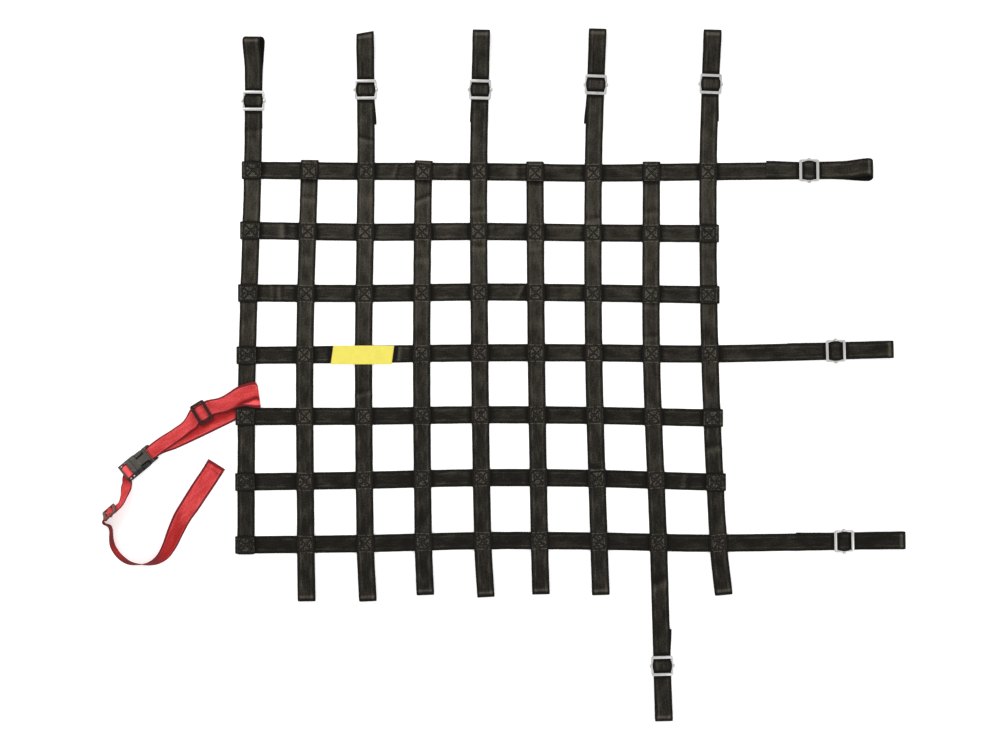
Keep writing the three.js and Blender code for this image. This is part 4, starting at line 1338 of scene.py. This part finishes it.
def red_tone_and_shade(seed, crease=None, lit=None, shade=((0.0, 0.0), (1.0, 0.0))):
    """Red strap's tone and painted light and shade, creased along knots of station and distance
    aside.
    """
    def lift_and_tone(place, aside):
        at = place.along
        tone = knotted(shade, at) + 0.4 * waver(at * 0.55, aside / 9, seed)
        lift = 0.0
        if crease and crease[0][0] - 1 < at < crease[-1][0]:
            off = aside - knotted(crease, at)
            share = ease(clamp(at - crease[0][0] + 1))
            trough = math.exp(-(off / CREASE_HALF) ** 2)
            # Painted shade in the crease's trough, and a painted highlight beside it
            tone += share * (0.9 * window(off, -4.5, -1.5) - 2.6 * trough)
            lift -= CREASE_DEPTH * share * trough
        # Painted light on the back layer's lower edge, and painted shade above it under the front
        # layer
        if lit and lit[0] < at < lit[1]:
            tone += 0.6 * window(aside, -12.5, -8.0) - 1.5 * window(-aside, -3.0, 8.0)
        return lift, clamp(tone, *RED_TONES)

    return lift_and_tone


class NET_OT_release_strap(bpy.types.Operator):
    """Weaves the red release strap: its loop round the first upright, and its free end"""

    bl_idname = "net.release_strap"
    bl_label = "Release strap"

    def execute(self, context):
        settings = context.scene.net_release
        finish = woven_finish(
            "red_webbing", tuple(settings.colour), tuple(settings.wear_and_highlight), tuple(settings.rim),
            RED["width"], **RED_WEAVE)
        loop_tone_and_shade = red_tone_and_shade(3.0, LOOP_CREASE, LOOP_LIT)
        for name, node, stations, dressing in (
                ("release_webbing_loop", "release_loop", loop_stations(), loop_tone_and_shade),
                ("release_webbing_tail", "release_tail", tail_stations(),
                 red_tone_and_shade(9.0, shade=TAIL_SHADE))):
            piece, length = woven_sheet(
                name, flowing(stations), RED["width"], settings.thickness, finish, dressing)
            place_piece(piece, "release_webbing", node)
        return {"FINISHED"}


class NET_OT_release_fittings(bpy.types.Operator):
    """Makes the side release buckle and the two webbing sliders"""

    bl_idname = "net.release_fittings"
    bl_label = "Release fittings"

    def execute(self, context):
        settings = context.scene.net_hardware
        outward = plan_vector(RELEASE["turn"] - 90)
        middle = outward.dot(at_release(0, 0, 0)) * MM
        shaded_flank = (tuple(outward), middle + SHADED_FLANK[0] * MM, middle + SHADED_FLANK[1] * MM)
        buckle = plastic_finish("buckle_plastic", tuple(settings.plastic), BUCKLE_GLOSS, shaded_flank)
        slider = plastic_finish("slider_plastic", tuple(settings.slider), SLIDER_GLOSS)
        small = plastic_finish(
            "small_slider_plastic", tuple(settings.small_slider), SLIDER_GLOSS)
        for node, name, finish in (
                ("release_socket", "buckle_socket", buckle),
                ("release_plug", "buckle_plug", buckle),
                ("loop_slider", "slider_on_loop", slider),
                ("tail_slider", "slider_on_tail", small)):
            piece = softened_copy(node, name, finish, settings.plastic_edge)
            place_piece(piece, "plastic", node)
        return {"FINISHED"}


class NET_PT_window_net(bpy.types.Panel):
    """Sizes, colours and steps of the window net"""

    bl_idname = "NET_PT_window_net"
    bl_label = "Window Net"
    bl_space_type = "VIEW_3D"
    bl_region_type = "UI"
    bl_category = "Window Net"

    def draw(self, context):
        for group, kind in GROUPS.items():
            box = self.layout.box()
            for name in kind.__annotations__:
                box.prop(getattr(context.scene, group), name)
        for operator in STEPS:
            self.layout.operator(operator.bl_idname)


GROUPS = {
    "net_webbing": WebbingSettings,
    "net_seams": SeamSettings,
    "net_hardware": HardwareSettings,
    "net_release": ReleaseSettings,
    "net_stage": StageSettings,
}
STEPS = (
    NET_OT_stage, NET_OT_uprights, NET_OT_cross_straps, NET_OT_seams, NET_OT_buckles,
    NET_OT_label, NET_OT_release_strap, NET_OT_release_fittings)
KINDS = (*GROUPS.values(), *STEPS, NET_PT_window_net)


def register():
    for kind in KINDS:
        bpy.utils.register_class(kind)
    for name, kind in GROUPS.items():
        setattr(bpy.types.Scene, name, bpy.props.PointerProperty(type=kind))


def unregister():
    for name in GROUPS:
        delattr(bpy.types.Scene, name)
    for kind in reversed(KINDS):
        bpy.utils.unregister_class(kind)


def main():
    register()
    bpy.ops.net.stage()
    bpy.ops.net.uprights()
    bpy.ops.net.cross_straps()
    bpy.ops.net.seams()
    bpy.ops.net.buckles()
    bpy.ops.net.label()
    bpy.ops.net.release_strap()
    bpy.ops.net.release_fittings()


if __name__ == "__main__":
    main()
